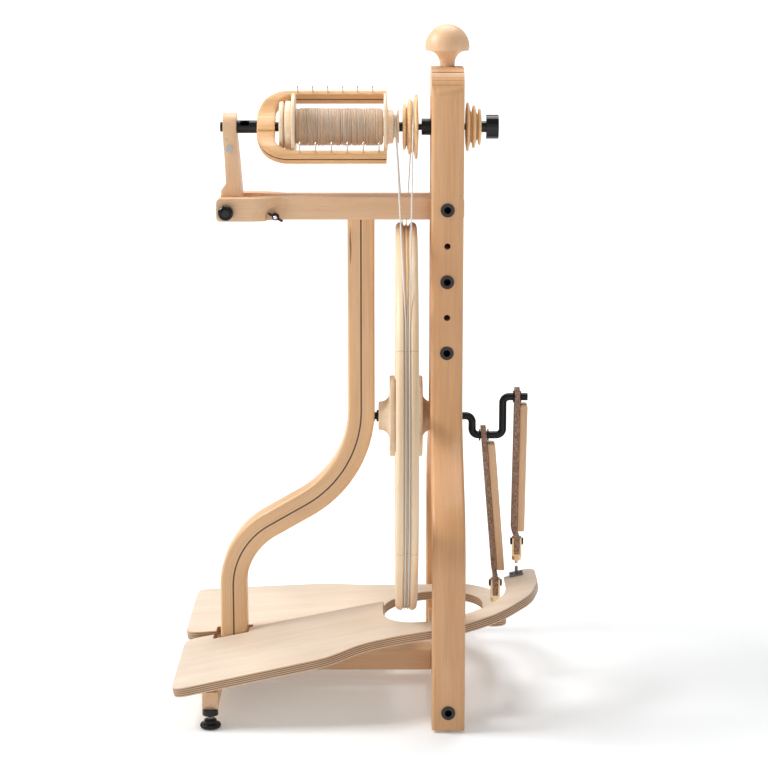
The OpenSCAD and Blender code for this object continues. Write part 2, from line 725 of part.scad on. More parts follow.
module clevis(low_x, pin_z) {
  half = strap_bow_w / 2 + clevis_wall;
  low = pin_z - clevis_pin_up - 2 * clevis_wall;
  translate([wheel_x + low_x, 0, 0]) {
    color(zinc) {
      for (s = [-1, 1]) block(s > 0 ? half - clevis_wall : -half, s > 0 ? half : -half + clevis_wall,
                              -clevis_w / 2, clevis_w / 2, low, low + clevis_h);
      block(-half, half, -clevis_w / 2, clevis_w / 2, low, low + clevis_wall);
      translate([0, 0, pin_z]) rod_x(clevis_pin_d, -half - clevis_wall, half + clevis_wall, $fn = 36);
    }
    color(black) translate([0, 0, low - nut_h]) cylinder(d = nut_d, h = nut_h, $fn = 6);
    color(zinc) translate([0, 0, pin_z - stem_low_drop]) cylinder(d = stem_d,
        h = stem_low_drop - stem_top_drop + nut_h, $fn = 24);
  }
}
module near_clevis() {
  clevis(near_low_x, near_pin_z);
}
module far_clevis() {
  clevis(far_low_x, far_pin_z);
}

// Treadles: corners are given as shares of the board's length and of the treadles' half width
near_len = 466.6;
near_front = 61.4;
far_len = 421.3;
far_front = 63.6;
near_shares = [[0, 0.010], [0, 1], [0.4004, 0.9596], [0.4398, 0.9242], [0.5055, 0.8131], [0.6127, 0.7980],
               [0.7046, 0.8283], [0.7921, 0.8333], [0.8840, 0.7323], [0.9705, 0.4949], [0.9978, 0.2374],
               [0.9978, -0.086], [0.9267, -0.086], [0.9267, 0.010]];
far_shares = [[0, 0.010], [0, 1], [0.4376, 0.955], [0.5541, 0.858], [0.7776, 0.780], [0.8846, 0.745],
              [0.9251, 0.670], [0.9631, 0.585], [0.9976, 0.30], [0.9976, -0.075], [0.935, -0.075],
                  [0.935, 0.010]];
near_bay_r = 80;
far_bay_r = 66;
near_bay = [282.7, 47];
far_bay = [262, 54];
notch_front = 23;
notch_back = 24;
notch_half = 20.5;
corner_round = 18;
corner_steps = 4;
function unit(v) = v / norm(v);
function soft(pts, d) = [
  for (i = [0 : len(pts) - 1])
    let (q = pts[i], a = pts[(i + len(pts) - 1) % len(pts)], b = pts[(i + 1) % len(pts)],
         ea = min(d, 0.48 * norm(a - q)), eb = min(d, 0.48 * norm(b - q)),
         pa = q + ea * unit(a - q), pb = q + eb * unit(b - q))
      for (k = [0 : corner_steps]) let (t = k / corner_steps)
        pa * (1 - t) * (1 - t) + 2 * q * t * (1 - t) + pb * t * t
];
module treadle_2d(shares, length, front, bay, bay_r) {
  difference() {
    polygon(soft([for (p = shares) [p[0] * length - front, p[1] * treadle_y]], corner_round));
    translate(bay) circle(bay_r);
    translate(bay - [bay_r, 2 * bay_r]) square([2 * bay_r, 2 * bay_r]);
    translate([-notch_front, -notch_half]) square([notch_front + notch_back, 2 * notch_half]);
  }
}
hinge_block_w = 11;
hinge_ys = [40, 118];
hinge_block_y = 24;
module treadle_board(shares, length, front, bay, bay_r) {
  difference() {
    union() {
      translate([0, 0, board_rise - board_t]) linear_extrude(board_t)
        treadle_2d(shares, length, front, bay, bay_r);
      for (y = hinge_ys) {
        translate([0, y, 0]) rod_y(hinge_block_w, -hinge_block_y / 2, hinge_block_y / 2, $fn = 36);
        block(-hinge_block_w / 2, hinge_block_w / 2, y - hinge_block_y / 2, y + hinge_block_y / 2,
              0, board_rise - board_t + thin);
      }
    }
    rod_y(hinge_rod_d + 2 * run_gap, 0, 2 * treadle_y, $fn = 36);
  }
}
// Seats a board drawn about the hinge rod at its slope in the stored pose
module at_hinge(slope) {
  translate([hinge_x, 0, hinge_z]) rotate([0, -slope, 0]) children();
}
module near_treadle() {
  color(birch) at_hinge(near_slope) mirror([0, 1, 0])
    treadle_board(near_shares, near_len, near_front, near_bay, near_bay_r);
}
module far_treadle() {
  color(birch) at_hinge(far_slope) treadle_board(far_shares, far_len, far_front, far_bay, far_bay_r);
}
plate_side = 17.6;
stud_plate_t = 2;
plate_screw_d = 4;
plate_screw_t = 1.5;
function board_z(slope, x) = hinge_z + board_rise / cos(slope) + (x - hinge_x) * tan(slope);
module treadle_stud(slope, low_x, pin_z) {
  x = wheel_x + low_x;
  s = (x - hinge_x + board_rise * sin(slope)) / cos(slope);
  top = pin_z - stem_low_drop - stem_gap;
  at_hinge(slope) translate([s, 0, board_rise]) {
    color(black) block(-plate_side / 2, plate_side / 2, -plate_side / 2, plate_side / 2, 0, stud_plate_t);
    color(steel) for (i = [-1, 1]) translate([i * plate_side / 3, 0, stud_plate_t - thin])
      cylinder(d = plate_screw_d, h = plate_screw_t, $fn = 24);
  }
  color(zinc) translate([x, 0, board_z(slope, x) + thin]) cylinder(d = stem_d, h = top - board_z(slope,
      x) - thin, $fn = 24);
}
module near_treadle_stud() {
  treadle_stud(near_slope, near_low_x, near_pin_z);
}
module far_treadle_stud() {
  treadle_stud(far_slope, far_low_x, far_pin_z);
}

// Tension: the knob and screw in the head, and the bearing block that they raise
knob_top = 845;
knob_low = 797;
knob_neck_d = 18.8;
knob_flare = 16;
screw_low = 736;
block_low = 698;
block_top = 748;
block_hole_low = 731;
block_side_gap = 0.5;
rear_bear_x0 = wheel_x + 18.8;
rear_bear_x1 = leg_cx;
rear_bear_d = 20.5;
tip_d = 8;
tip_fit = 0.1;
tip_in = 6;
tip_room = 2;          // free depth behind the shaft's tip
cap_neck_d = 14;
module tension_knob() {
  color(maple) translate([leg_cx, 0, 0]) difference() {
    rotate_extrude($fn = 72) {
      intersection() {
        translate([0, knob_top - knob_d / 2]) circle(knob_d / 2);
        translate([0, knob_low + knob_flare]) square([knob_d, knob_d]);
      }
      difference() {
        translate([0, knob_low]) square([knob_neck_d / 2 + knob_flare, knob_flare + thin]);
        translate([knob_neck_d / 2 + knob_flare, knob_low]) circle(knob_flare);
      }
      translate([0, leg_top + seat_gap]) square([knob_neck_d / 2, knob_low - leg_top - seat_gap + thin]);
    }
    translate([0, 0, leg_top - over]) cylinder(d = screw_d + 2 * tight_gap,
        h = knob_low - leg_top + knob_flare);
  }
}
module tension_screw() {
  color(steel) translate([leg_cx, 0, screw_low]) cylinder(d = screw_d,
      h = knob_low - screw_low + knob_flare - 2 * over, $fn = 48);
}
module bearing_block() {
  color(maple) difference() {
    block(leg_front + over, leg_back - over, -inside_y + block_side_gap, inside_y - block_side_gap,
        block_low, block_top);
    translate([leg_cx, 0, block_hole_low]) cylinder(d = screw_d + 2 * run_gap,
        h = block_top - block_hole_low + over);
    translate([0, 0, flyer_h]) rod_x(rear_bear_d + 2 * tight_gap, leg_front, rear_bear_x1);
    translate([0, 0, flyer_h]) rod_x(tip_d + 2 * tight_gap, leg_back - peg_in, leg_back + over);
  }
}
peg_in = 12;
module rear_flyer_bearing() {
  color(black) translate([0, 0, flyer_h]) difference() {
    rod_x(rear_bear_d, rear_bear_x0, rear_bear_x1);
    rod_x(tip_d + 2 * tip_fit, rear_bear_x0 - over, rear_bear_x0 + tip_in + tip_room);
  }
}
spare_xs = [73.6, 76.2, 78.8, 80.8, 83.8, 86.9, 88.6, 90.85, 93.1];
spare_rs = [22, 30.4, 22, 18, 26.7, 18, 15, 22.7, 15];
module spare_whorl() {
  color(maple) translate([wheel_x, 0, flyer_h]) rotate([0, 90, 0]) rotate_extrude($fn = 72) difference() {
    polygon(concat([[0, spare_xs[0]]], [for (i = [0 : 8]) [spare_rs[i], spare_xs[i]]], [[0, spare_xs[8]]]));
    translate([-over, spare_xs[0] - over]) square([tip_d / 2 + tight_gap + over, spare_xs[8]]);
  }
}
cap_x0 = wheel_x + 99;
cap_x1 = wheel_x + 114.5;
cap_d = 30;
module whorl_cap() {
  color(black) translate([0, 0, flyer_h]) {
    rod_x(cap_d, cap_x0, cap_x1, $fn = 48);
    rod_x(tip_d, leg_back - peg_in + over, cap_x0 + thin, $fn = 48);
    rod_x(cap_neck_d, wheel_x + spare_xs[8], cap_x0 + thin, $fn = 48);
  }
}

// Clamps on the rails
clamp_knob_h = 15;
clamp_far_y = 46;
rail_out_y = rail_gap / 2 + rail_t + rail_flare;
module maiden_knob() {
  color(black) translate([maiden_axle_x, 0, maiden_axle_z]) {
    rod_y(clamp_knob_d, -rail_out_y - seat_gap - clamp_knob_h, -rail_out_y - seat_gap, $fn = 48);
    rod_y(clamp_d, -rail_out_y - 2 * seat_gap, clamp_far_y, $fn = 36);
  }
}
wing_hub_d = 9;
wing_hub_h = 7;
wing_span = 21;
wing_t = 2.4;
wing_rise = 9;
wing_a = 30;
module wing_nut() {
  color(black) translate([wing_x, -wing_seat_y - seat_gap, wing_z]) rotate([0, wing_a, 0]) {
    rod_y(wing_hub_d, -wing_hub_h, 0, $fn = 36);
    rod_y(wing_bolt_d, -wing_hub_h, wing_bolt_in - over, $fn = 36);
    difference() {
      union() {
        block(-wing_span / 2 + wing_hub_d / 2, wing_span / 2 - wing_hub_d / 2,
            -wing_rise - wing_hub_d / 2, -wing_t,
              -wing_t / 2, wing_t / 2);
        for (s = [-1, 1]) translate([s * (wing_span / 2 - wing_hub_d / 2), -wing_rise, -wing_t / 2])
          cylinder(d = wing_hub_d, h = wing_t, $fn = 36);
      }
      rod_y(wing_hub_d, -2 * wing_rise, -wing_hub_h + thin, $fn = 36);
    }
  }
}

// Flyer: drawn with its arms up and down, then turned
u_outer_r = 40;
u_inner_r = 25;
u_front_t = 22.3;
fly_x0 = wheel_x - flyer_front;
fly_x1 = fly_x0 + flyer_len;
fly_in = fly_x0 + u_front_t;
hole_in = 11;
hole_x = fly_x0 + hole_in;
hole_d = 4;
module u_shape(x0, x1, half, r) {
  translate([x0, -half + r]) square([x1 - x0, 2 * half - 2 * r]);
  translate([x0 + r, -half]) square([x1 - x0 - r, 2 * half]);
  for (s = [-1, 1]) translate([x0 + r, s * (half - r)]) circle(r);
}
module turned() {
  translate([0, 0, flyer_h]) rotate([-flyer_turn, 0, 0]) children();
}
module u_slice(y0, y1) {
  turned() difference() {
    translate([0, y1, 0]) rotate([90, 0, 0]) linear_extrude(y1 - y0) difference() {
      u_shape(fly_x0, fly_x1, flyer_w / 2, u_outer_r);
      u_shape(fly_in, fly_x1 + flyer_w, flyer_w / 2 - arm_w, u_inner_r);
    }
    rod_x(shaft_d + 2 * tight_gap, fly_x0 - over, fly_in + over, $fn = 48);
  }
}
module flyer_maple() {
  color(maple) {
    u_slice(-flyer_t / 2, -walnut_t / 2);
    u_slice(walnut_t / 2, flyer_t / 2);
  }
}
module flyer_walnut() {
  color(walnut) u_slice(-walnut_t / 2, walnut_t / 2);
}
hook_d = 1.6;
hook_h = 12;
hook_r = 2.6;
hook_first_up = 50;
hook_step_up = 18.8;
hook_first_low = 54.5;
hook_step_low = 19.5;
module hook() {
  rod_y(hook_d, -hook_h, 0, $fn = 16);
  translate([0, -hook_h, hook_r]) rotate([0, 90, 0]) rotate_extrude(angle = 270, $fn = 20)
    translate([hook_r, 0]) circle(d = hook_d, $fn = 16);
}
module flyer_hooks() {
  color(steel) turned() for (i = [0 : hook_count - 1]) {
    translate([fly_x0 + hook_first_up + i * hook_step_up, -flyer_t / 2, flyer_w / 2 - arm_w / 2]) hook();
    translate([fly_x0 + hook_first_low + i * hook_step_low, -flyer_t / 2, -flyer_w / 2 + arm_w / 2])
        mirror([0, 0, 1]) hook();
  }
}
tube_x0 = wheel_x - 210.8;
stub_x0 = wheel_x - 232;
slot_x0 = 4;
slot_len = 11;
slot_w = 8;
tube_bore = 9;
tip_end = rear_bear_x0 + tip_in;
cone_x = wheel_x + 15;
module flyer_shaft() {
  color(black) turned() difference() {
    union() {
      rod_x(journal_d, stub_x0, tube_x0 + over, $fn = 48);
      rod_x(tube_d, tube_x0, fly_x0, $fn = 48);
      rod_x(shaft_d, fly_x0 - over, cone_x, $fn = 48);
      rod_x(tip_d, cone_x - over, tip_end, $fn = 48);
    }
    rod_x(tube_bore, stub_x0 - over, tube_x0 + slot_x0 + slot_len, $fn = 48);
    translate([tube_x0 + slot_x0, -tube_d, -slot_w / 2]) cube([slot_len, tube_d, slot_w]);
  }
}
whorl_xs = [-4.9, -2.8, 0, 3.9, 8.5, 12, 14.6, 15];
whorl_rs = [21, 28.8, 22.5, 34.7, 28.3, 40.4, 22, 14];
module flyer_whorls() {
  color(maple) translate([wheel_x, 0, flyer_h]) rotate([0, 90, 0]) rotate_extrude($fn = 96) difference() {
    polygon(concat([[0, whorl_xs[0]]], [for (i = [0 : 7]) [whorl_rs[i], whorl_xs[i]]], [[0, whorl_xs[7]]]));
    translate([-over, whorl_xs[0] - over]) square([shaft_d / 2 + tight_gap + over,
        whorl_xs[7] - whorl_xs[0] + 2 * over]);
  }
}
module swivel_bush() {
  color(black) translate([ball_x, 0, flyer_h]) difference() {
    intersection() {
      sphere(ball_r, $fn = 48);
      rod_x(4 * ball_r, -ball_half, ball_half);
    }
    rod_x(journal_d + 2 * run_gap, -ball_r, ball_r, $fn = 48);
  }
}

// Bobbin and yarn; places behind the wheel's plane and radii, front to back
bob_xs = [-158, -157.9, -152.9, -152.8, -150.7, -150.6, -143.3, -143.2, -142.8, -142.7, -138.1, -138,
          -28.6, -28.5, -24.5, -23.1, -16.4, -15.6, -12.7, -11.4, -9.1];
bob_rs = [12, 31.4, 31.4, 26, 26, 32.2, 32.2, 30, 30, 41.3, 41.3, 11,
          11, 41.5, 41.5, 21, 21, 13.4, 13.4, 20.7, 20.7];
yarn_x0 = -138;
yarn_x1 = -28.6;
yarn_end_gap = 0.5;
core_r = 19.2;
module bobbin() {
  color(pale_maple) translate([wheel_x, 0, flyer_h]) rotate([0, 90, 0]) rotate_extrude($fn = 72)
      difference() {
    polygon(concat([[0, bob_xs[0]]], [for (i = [0 : len(bob_xs) - 1]) [bob_rs[i], bob_xs[i]]], [[0,
        bob_xs[len(bob_xs) - 1]]]));
    translate([-over, bob_xs[0] - over]) square([shaft_d / 2 + run_gap + over, flyer_len]);
  }
}
module yarn_core() {
  color(yarn_tan) translate([0, 0, flyer_h])
    ring_x(2 * core_r, 2 * bob_rs[11] + 2 * tight_gap, wheel_x + yarn_x0 + yarn_end_gap,
        wheel_x + yarn_x1 - yarn_end_gap, $fn = 72);
}
yarn_t = 3.8;          // thickness of the yarn's outer turns
yarn_turns = 24;
yarn_rings = 24;
yarn_sides = 6;
wind_x0 = wheel_x + yarn_x0 + yarn_end_gap + yarn_t / 2;
wind_x1 = wheel_x + yarn_x1 - yarn_end_gap - yarn_t / 2;
wind_r = yarn_d / 2 - yarn_t / 2;
yarn_n = yarn_turns * yarn_rings;
function wind_pt(k) = let (a = k * 360 / yarn_rings)
  [wind_x0 + (wind_x1 - wind_x0) * k / yarn_n, wind_r * cos(a), wind_r * sin(a)];
function wind_dir(k) = unit(wind_pt(k + 1) - wind_pt(k - 1));
// Rings of a tube: a path of points, each with its direction and the tube's radius, sides to a ring
function ring_pts(p, t, r, n) = let (u = unit(cross(t, [1, 0, 0])), v = cross(t, u))
  [for (j = [0 : n - 1]) p + r * cos(j * 360 / n) * u + r * sin(j * 360 / n) * v];
function tube_faces(rings, n, closed) = [
  for (i = [0 : rings - (closed ? 1 : 2)], j = [0 : n - 1])
    let (a = i * n + j, b = i * n + (j + 1) % n, c = ((i + 1) % rings) * n + j, d = ((i + 1) % rings)
        * n + (j + 1) % n)
      each [[a, c, b], [b, c, d]]
];
yarn_path = concat([wind_pt(0) - yarn_t * wind_dir(0)], [for (k = [0 : yarn_n]) wind_pt(k)],
                   [wind_pt(yarn_n) + yarn_t * wind_dir(yarn_n)]);
yarn_dirs = concat([wind_dir(0)], [for (k = [0 : yarn_n]) wind_dir(k)], [wind_dir(yarn_n)]);
yarn_pitch = (wind_x1 - wind_x0) / yarn_turns;
module yarn_winding() {
  rings = len(yarn_path);
  pts = [for (i = [0 : rings - 1]) each ring_pts(yarn_path[i], yarn_dirs[i], yarn_t / 2, yarn_sides)];
  faces = concat(tube_faces(rings, yarn_sides, false), [[for (j = [0 : yarn_sides - 1]) j]],
                 [[for (j = [yarn_sides - 1 : -1 : 0]) (rings - 1) * yarn_sides + j]]);
  color(yarn_tan) translate([0, 0, flyer_h]) polyhedron(pts, faces);
  echo("least gap of the yarn to itself", yarn_pitch - yarn_t);
}

// Drive band: one cord, twice round the wheel, once over the bobbin and once over the whorl
band_clear = 0.35;
band_rest = 0.45;       // the band's chords stay this far outside its circle
bob_groove_r = 13.4;
whorl_groove_r = 28.3;
wheel_band_r = wheel_r - groove_depth + (band_d / 2 + band_clear) / sin(groove_a) + band_rest;
bob_groove = -14.15;   // place of the bobbin's groove behind the wheel's plane
whorl_groove = 8.1;
bob_band_rest = 0.2;
whorl_band_up = 2.95;   // how high the band's cord sits in the whorl's V
bob_band_r = bob_groove_r + band_d / 2 + band_clear + bob_band_rest;
whorl_band_r = whorl_groove_r + whorl_band_up + band_rest;
band_rise = flyer_h - axle_h;
wheel_rings = 26;
small_rings = 9;
function lift(r) = asin((wheel_band_r - r) / band_rise);
// Angles count from the top of each round, positive towards the far side
function wheel_arc(r_up, r_down, u0, u1) = let (a0 = 90 - lift(r_up), a1 = 90 - lift(r_down))
  [for (k = [0 : wheel_rings]) let (f = k / wheel_rings, a = a0 + (360 - a0 - a1) * f)
    [wheel_x + u0 + (u1 - u0) * f, wheel_band_r * sin(a), axle_h + wheel_band_r * cos(a)]];
function top_arc(r, x) = let (a = 90 - lift(r))
  [for (k = [0 : small_rings]) let (b = -a + 2 * a * k / small_rings)
    [wheel_x + x, r * sin(b), flyer_h + r * cos(b)]];
band_path = concat(
  top_arc(bob_band_r, bob_groove), wheel_arc(bob_band_r, whorl_band_r, band_u, band_u),
  top_arc(whorl_band_r, whorl_groove), wheel_arc(whorl_band_r, bob_band_r, -band_u, -band_u));
module drive_band() {
  n = len(band_path);
  sides = 8;
  pts = [for (i = [0 : n - 1])
    each ring_pts(band_path[i], unit(band_path[(i + 1) % n] - band_path[(i + n - 1) % n]), band_d / 2,
        sides)];
  color(cord_white) polyhedron(pts, tube_faces(n, sides, true));
}

post_front_lamination();
post_walnut_ply();
post_rear_lamination();
near_leg_outer();
near_leg_walnut();
near_leg_inner();
far_leg_outer();
far_leg_walnut();
far_leg_inner();
head_block();
head_walnut_plate();
axle_board();
near_rail();
far_rail();
spine();
foot_bar();
rear_stretcher();
rear_feet();
leveller_cups();
frame_bolts();
front_maiden();
maiden_screws();
axle_bushes();
treadle_rod();
drive_band();
tension_knob();
tension_screw();
bearing_block();
rear_flyer_bearing();
spare_whorl();
whorl_cap();
maiden_knob();
wing_nut();
near_leveller();
far_leveller();
wheel_rim();
wheel_spokes();
wheel_hub();
crank_axle();
crank_clips();
near_footman_strap();
near_footman_bar();
near_clevis();
far_footman_strap();
far_footman_bar();
far_clevis();
near_treadle();
near_treadle_stud();
far_treadle();
far_treadle_stud();
swivel_bush();
flyer_maple();
flyer_walnut();
flyer_hooks();
flyer_shaft();
flyer_whorls();
bobbin();
yarn_core();
yarn_winding();
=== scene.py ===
"""Looks for a double treadle spinning wheel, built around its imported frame.

Every length is in metres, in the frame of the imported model: X runs along the axle from the spinner
to the crank, Z is up and the floor is Z = 0. A surface carries a vector attribute called grain, which
is (length along the fibres, width, thickness), so wood, plies and cords follow the form.
"""

import json
import math
from functools import partial

import bmesh
import bpy
import numpy as np
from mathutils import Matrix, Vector
from mathutils.bvhtree import BVHTree
from mathutils.interpolate import poly_3d_calc


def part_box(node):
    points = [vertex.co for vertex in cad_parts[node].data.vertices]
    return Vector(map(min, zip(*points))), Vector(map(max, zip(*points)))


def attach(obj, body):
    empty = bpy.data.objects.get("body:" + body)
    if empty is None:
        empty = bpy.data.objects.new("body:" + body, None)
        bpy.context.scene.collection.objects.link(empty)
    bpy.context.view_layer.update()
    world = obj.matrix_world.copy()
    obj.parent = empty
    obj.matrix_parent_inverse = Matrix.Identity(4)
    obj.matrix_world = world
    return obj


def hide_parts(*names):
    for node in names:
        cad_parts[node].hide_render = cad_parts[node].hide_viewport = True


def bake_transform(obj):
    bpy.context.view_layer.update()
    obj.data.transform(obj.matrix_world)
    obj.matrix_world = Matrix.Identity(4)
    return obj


bl_info = {
    "name": "Double treadle spinning wheel",
    "version": (1, 0, 0),
    "blender": (4, 5, 0),
    "location": "View3D > Sidebar > Spinning wheel",
    "description": "Builds the visible surfaces of a double treadle spinning wheel around its frame",
    "category": "Object",
}

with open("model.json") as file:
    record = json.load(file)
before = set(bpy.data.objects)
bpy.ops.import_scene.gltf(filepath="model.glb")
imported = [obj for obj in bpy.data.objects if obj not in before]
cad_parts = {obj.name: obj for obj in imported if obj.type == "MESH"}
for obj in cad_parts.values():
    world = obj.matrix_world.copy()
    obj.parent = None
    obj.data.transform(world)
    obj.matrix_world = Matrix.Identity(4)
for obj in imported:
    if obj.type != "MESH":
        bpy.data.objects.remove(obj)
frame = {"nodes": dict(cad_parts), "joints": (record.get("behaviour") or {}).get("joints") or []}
NODES = frame["nodes"]
PIVOTS = {joint["name"]: joint.get("pos_m") for joint in frame["joints"]}

WHEEL_X, _, AXLE_Z = PIVOTS["wheel_spin"]
HINGE_X, _, HINGE_Z = PIVOTS["near_treadle_rock"]
FLYER_Z = PIVOTS["flyer_spin"][2]
LEG_X = PIVOTS["tension_knob_turn"][0]
WHEEL_R = 0.2475
# Thickness of the dark plies.
PLY = 0.002
# Heights of the bolts through the legs; the last one holds the stretcher.
BOLT_ZS = (0.6209, 0.5318, 0.4425, 0.0253)
SIDES = ((-1, "near"), (1, "far"))
# Materials by name.
MAT = {}


# Meshes

def ray(angle):
    """(cos a, sin a) for each angle a."""
    return np.stack([np.cos(angle), np.sin(angle)], -1)


def stacked(*parts):
    """Points with the given coordinates, each spread over one common grid."""
    return np.stack(np.broadcast_arrays(*parts), -1)


def give_grain(mesh, grain):
    """Stores (length, width, thickness) at each vertex, for the materials to read."""
    layer = mesh.attributes.new("grain", "FLOAT_VECTOR", "POINT")
    layer.data.foreach_set("vector", np.ascontiguousarray(grain, np.float32).ravel())


def shade(mesh, sharp=35.0):
    """Shades a mesh smooth and keeps edges sharper than the angle sharp crisp."""
    mesh.shade_smooth()
    mesh.set_sharp_from_angle(angle=math.radians(sharp))
    mesh.update()


def linked(name, data):
    """Puts a mesh, lamp or camera into the scene as an object."""
    ob = bpy.data.objects.new(name, data)
    bpy.context.scene.collection.objects.link(ob)
    return ob


def mesh_object(name, verts, faces, grain=None, sharp=35.0):
    """Makes a shaded mesh object, whose faces point outwards, from points in any grid."""
    mesh = bpy.data.meshes.new(name)
    mesh.from_pydata(np.reshape(verts, (-1, 3)).tolist(), [], faces)
    mesh.validate()
    bm = bmesh.new()
    bm.from_mesh(mesh)
    bmesh.ops.recalc_face_normals(bm, faces=bm.faces)
    bm.to_mesh(mesh)
    bm.free()
    if grain is not None:
        give_grain(mesh, grain)
    shade(mesh, sharp)
    return linked(name, mesh)


def seat(ob, body, material, replaces=()):
    """Gives a piece its material, the body that it rides on and the CAD nodes that it stands for."""
    ob.data.materials.clear()
    ob.data.materials.append(MAT[material])
    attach(ob, body)
    if replaces:
        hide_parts(*replaces)


def joined(*parts):
    """One (vertices, faces, grain) from several."""
    faces, start = [], 0
    for verts, own, _ in parts:
        faces += [[start + i for i in face] for face in own]
        start += len(verts)
    return np.concatenate([p[0] for p in parts]), faces, np.concatenate([p[2] for p in parts])


def section(width_a, width_w, radius, corner=3, side=5):
    """Coordinates a and w of a rounded rectangle, up the +w side and back down the -w side.

    Point i and point k-1-i have the same a, so a cap is a strip of quads between them. A column of
    widths gives a row of points for each.
    """
    ha, hw = np.asarray(width_a) / 2 - radius, width_w / 2 - radius
    c, s = ray(math.pi / 2 * np.arange(corner + 1) / corner).T * radius
    a = np.concatenate([-ha - c, -ha + 2 * ha * np.arange(1, side) / side, ha + s], -1)
    w = np.concatenate([hw + s, np.full(side - 1, hw + radius), hw + c])
    return np.concatenate([a, a[..., ::-1]], -1), np.concatenate([w, -w[::-1]])


def skin(rows, closed=False, caps=True):
    """Quads between the rings of rows (stations, points, 3), closed end to end or capped by strips."""
    n, k = rows.shape[:2]
    index = np.arange(n * k).reshape(n, k)
    a, b = (index, np.roll(index, -1, 0)) if closed else (index[:-1], index[1:])
    quads = np.stack([a, np.roll(a, -1, 1), np.roll(b, -1, 1), b], -1).reshape(-1, 4).tolist()
    if caps and not closed:
        i = np.arange(k // 2 - 1)
        first = np.stack([i + 1, i, k - 1 - i, k - 2 - i], -1)
        last = np.stack([i, i + 1, k - 2 - i, k - 1 - i], -1) + (n - 1) * k
        quads += np.stack([first, last], 1).reshape(-1, 4).tolist()
    return quads


def s_bend(knee, ankle, lean, slant, top_z, bend_z, foot_z, fine=24, straight=6):
    """Stations of an S-bend from its top down, as (x, z, normal x, normal z, length).

    An upright from top_z to bend_z, an arc of radius knee through the angle lean towards -x, a straight
    of length slant, an arc of radius ankle back to upright, and an upright down to foot_z.
    """
    even, share = np.arange(straight) / straight, np.arange(fine) / fine
    normal, down = ray(lean) * (1, -1), -ray(lean)[::-1]
    start = knee * (normal - (1, 0)) + (0, bend_z)
    centre = start + slant * down + ankle * normal
    a, b = ray(-lean * share), ray(math.pi - lean + lean * share)
    out = np.concatenate([
        stacked(0, top_z + (bend_z - top_z) * even, 1, 0),
        np.column_stack([knee * (a - (1, 0)) + (0, bend_z), a]),
        np.column_stack([start + np.outer(slant * even, down), np.tile(normal, (straight, 1))]),
        np.column_stack([centre + ankle * b, -b]),
        stacked(centre[0] - ankle, np.linspace(centre[1], foot_z, straight + 1), 1, 0),
    ])
    steps = np.hypot(*np.diff(out[:, :2], axis=0).T)
    return np.column_stack([out, np.concatenate([[0], np.cumsum(steps)])])


def strip(path, lo, hi, width, radius, side=5):
    """Sweeps a rounded section, whose faces lie lo and hi from the path: point + a times its normal."""
    a, w = section(hi - lo, width, radius, side=side)
    a = a + (hi + lo) / 2
    x, z, nx, nz, length = path.T[:, :, None]
    return stacked(x + a * nx, w, z + a * nz), stacked(length, w, a)


def tube(points, radius, sides=12, closed=False):
    """Sweeps a circle along points: p + r (cos b u + sin b v), with u and v across the path.

    From ring to ring u is turned only as far as keeps it square to the path.
    """
    p = np.asarray(points, float)
    t = np.roll(p, -1, 0) - np.roll(p, 1, 0) if closed else np.gradient(p, axis=0)
    t /= np.linalg.norm(t, axis=1)[:, None]
    across = np.cross(t[0], [0.31, 0.52, 0.79])
    u = np.empty_like(p)
    for i, ahead in enumerate(t):
        across = across - ahead * (across @ ahead)
        across /= np.linalg.norm(across)
        u[i] = across
    r = np.broadcast_to(radius, len(p))[:, None, None]
    share = np.arange(sides) / sides
    c, s = ray(2 * math.pi * share).T[:, :, None]
    rows = p[:, None] + r * (c * u[:, None] + s * np.cross(t, u)[:, None])
    length = np.concatenate([[0], np.cumsum(np.linalg.norm(np.diff(p, axis=0), axis=1))])
    faces = skin(rows, closed=closed, caps=False)
    if not closed:
        end = (len(p) - 1) * sides
        faces += [list(range(sides))[::-1], list(range(end, end + sides))]
    return rows.reshape(-1, 3), faces, stacked(length[:, None], share, r[..., 0]).reshape(-1, 3)


def revolve(profile, place, steps=96):
    """Turns a closed profile of (radius, along) about its axis: (r cos a, r sin a, along)."""
    r, along = np.asarray(profile, float).T
    c, s = ray(2 * math.pi * np.arange(steps) / steps).T[:, :, None]
    rows = stacked(r * c, r * s, along)
    return place(rows.reshape(-1, 3)), skin(rows, closed=True), stacked(along, r * c, r * s).reshape(-1, 3)


def softened(cad, width, along="X", least=40.0, segments=3, turn=None, name=None):
    """Copies a CAD node, welds it and rounds each edge that bends more than least, by width.

    Its grain is its coordinates with the axis along put first, or what turn makes of them.
    """
    bm = bmesh.new()
    bm.from_mesh(NODES[cad].data)
    bmesh.ops.remove_doubles(bm, verts=bm.verts, dist=2e-5)
    bmesh.ops.dissolve_limit(bm, angle_limit=math.radians(0.6), verts=bm.verts, edges=bm.edges)
    bent = [e for e in bm.edges if len(e.link_faces) == 2 and e.calc_face_angle(0) > math.radians(least)]
    bmesh.ops.bevel(bm, geom=bent, offset=width, segments=segments, profile=0.5, affect="EDGES",
                    clamp_overlap=True)
    bmesh.ops.triangulate(bm, faces=[f for f in bm.faces if len(f.verts) > 4])
    name = name or cad + "_rounded"
    mesh = bpy.data.meshes.new(name)
    bm.to_mesh(mesh)
    bm.free()
    co = np.empty(len(mesh.vertices) * 3, np.float32)
    mesh.vertices.foreach_get("co", co)
    co = co.reshape(-1, 3)
    order = {"X": [0, 1, 2], "Y": [1, 0, 2], "Z": [2, 0, 1]}[along]
    give_grain(mesh, turn(co) if turn else co[:, order])
    shade(mesh)
    return linked(name, mesh)


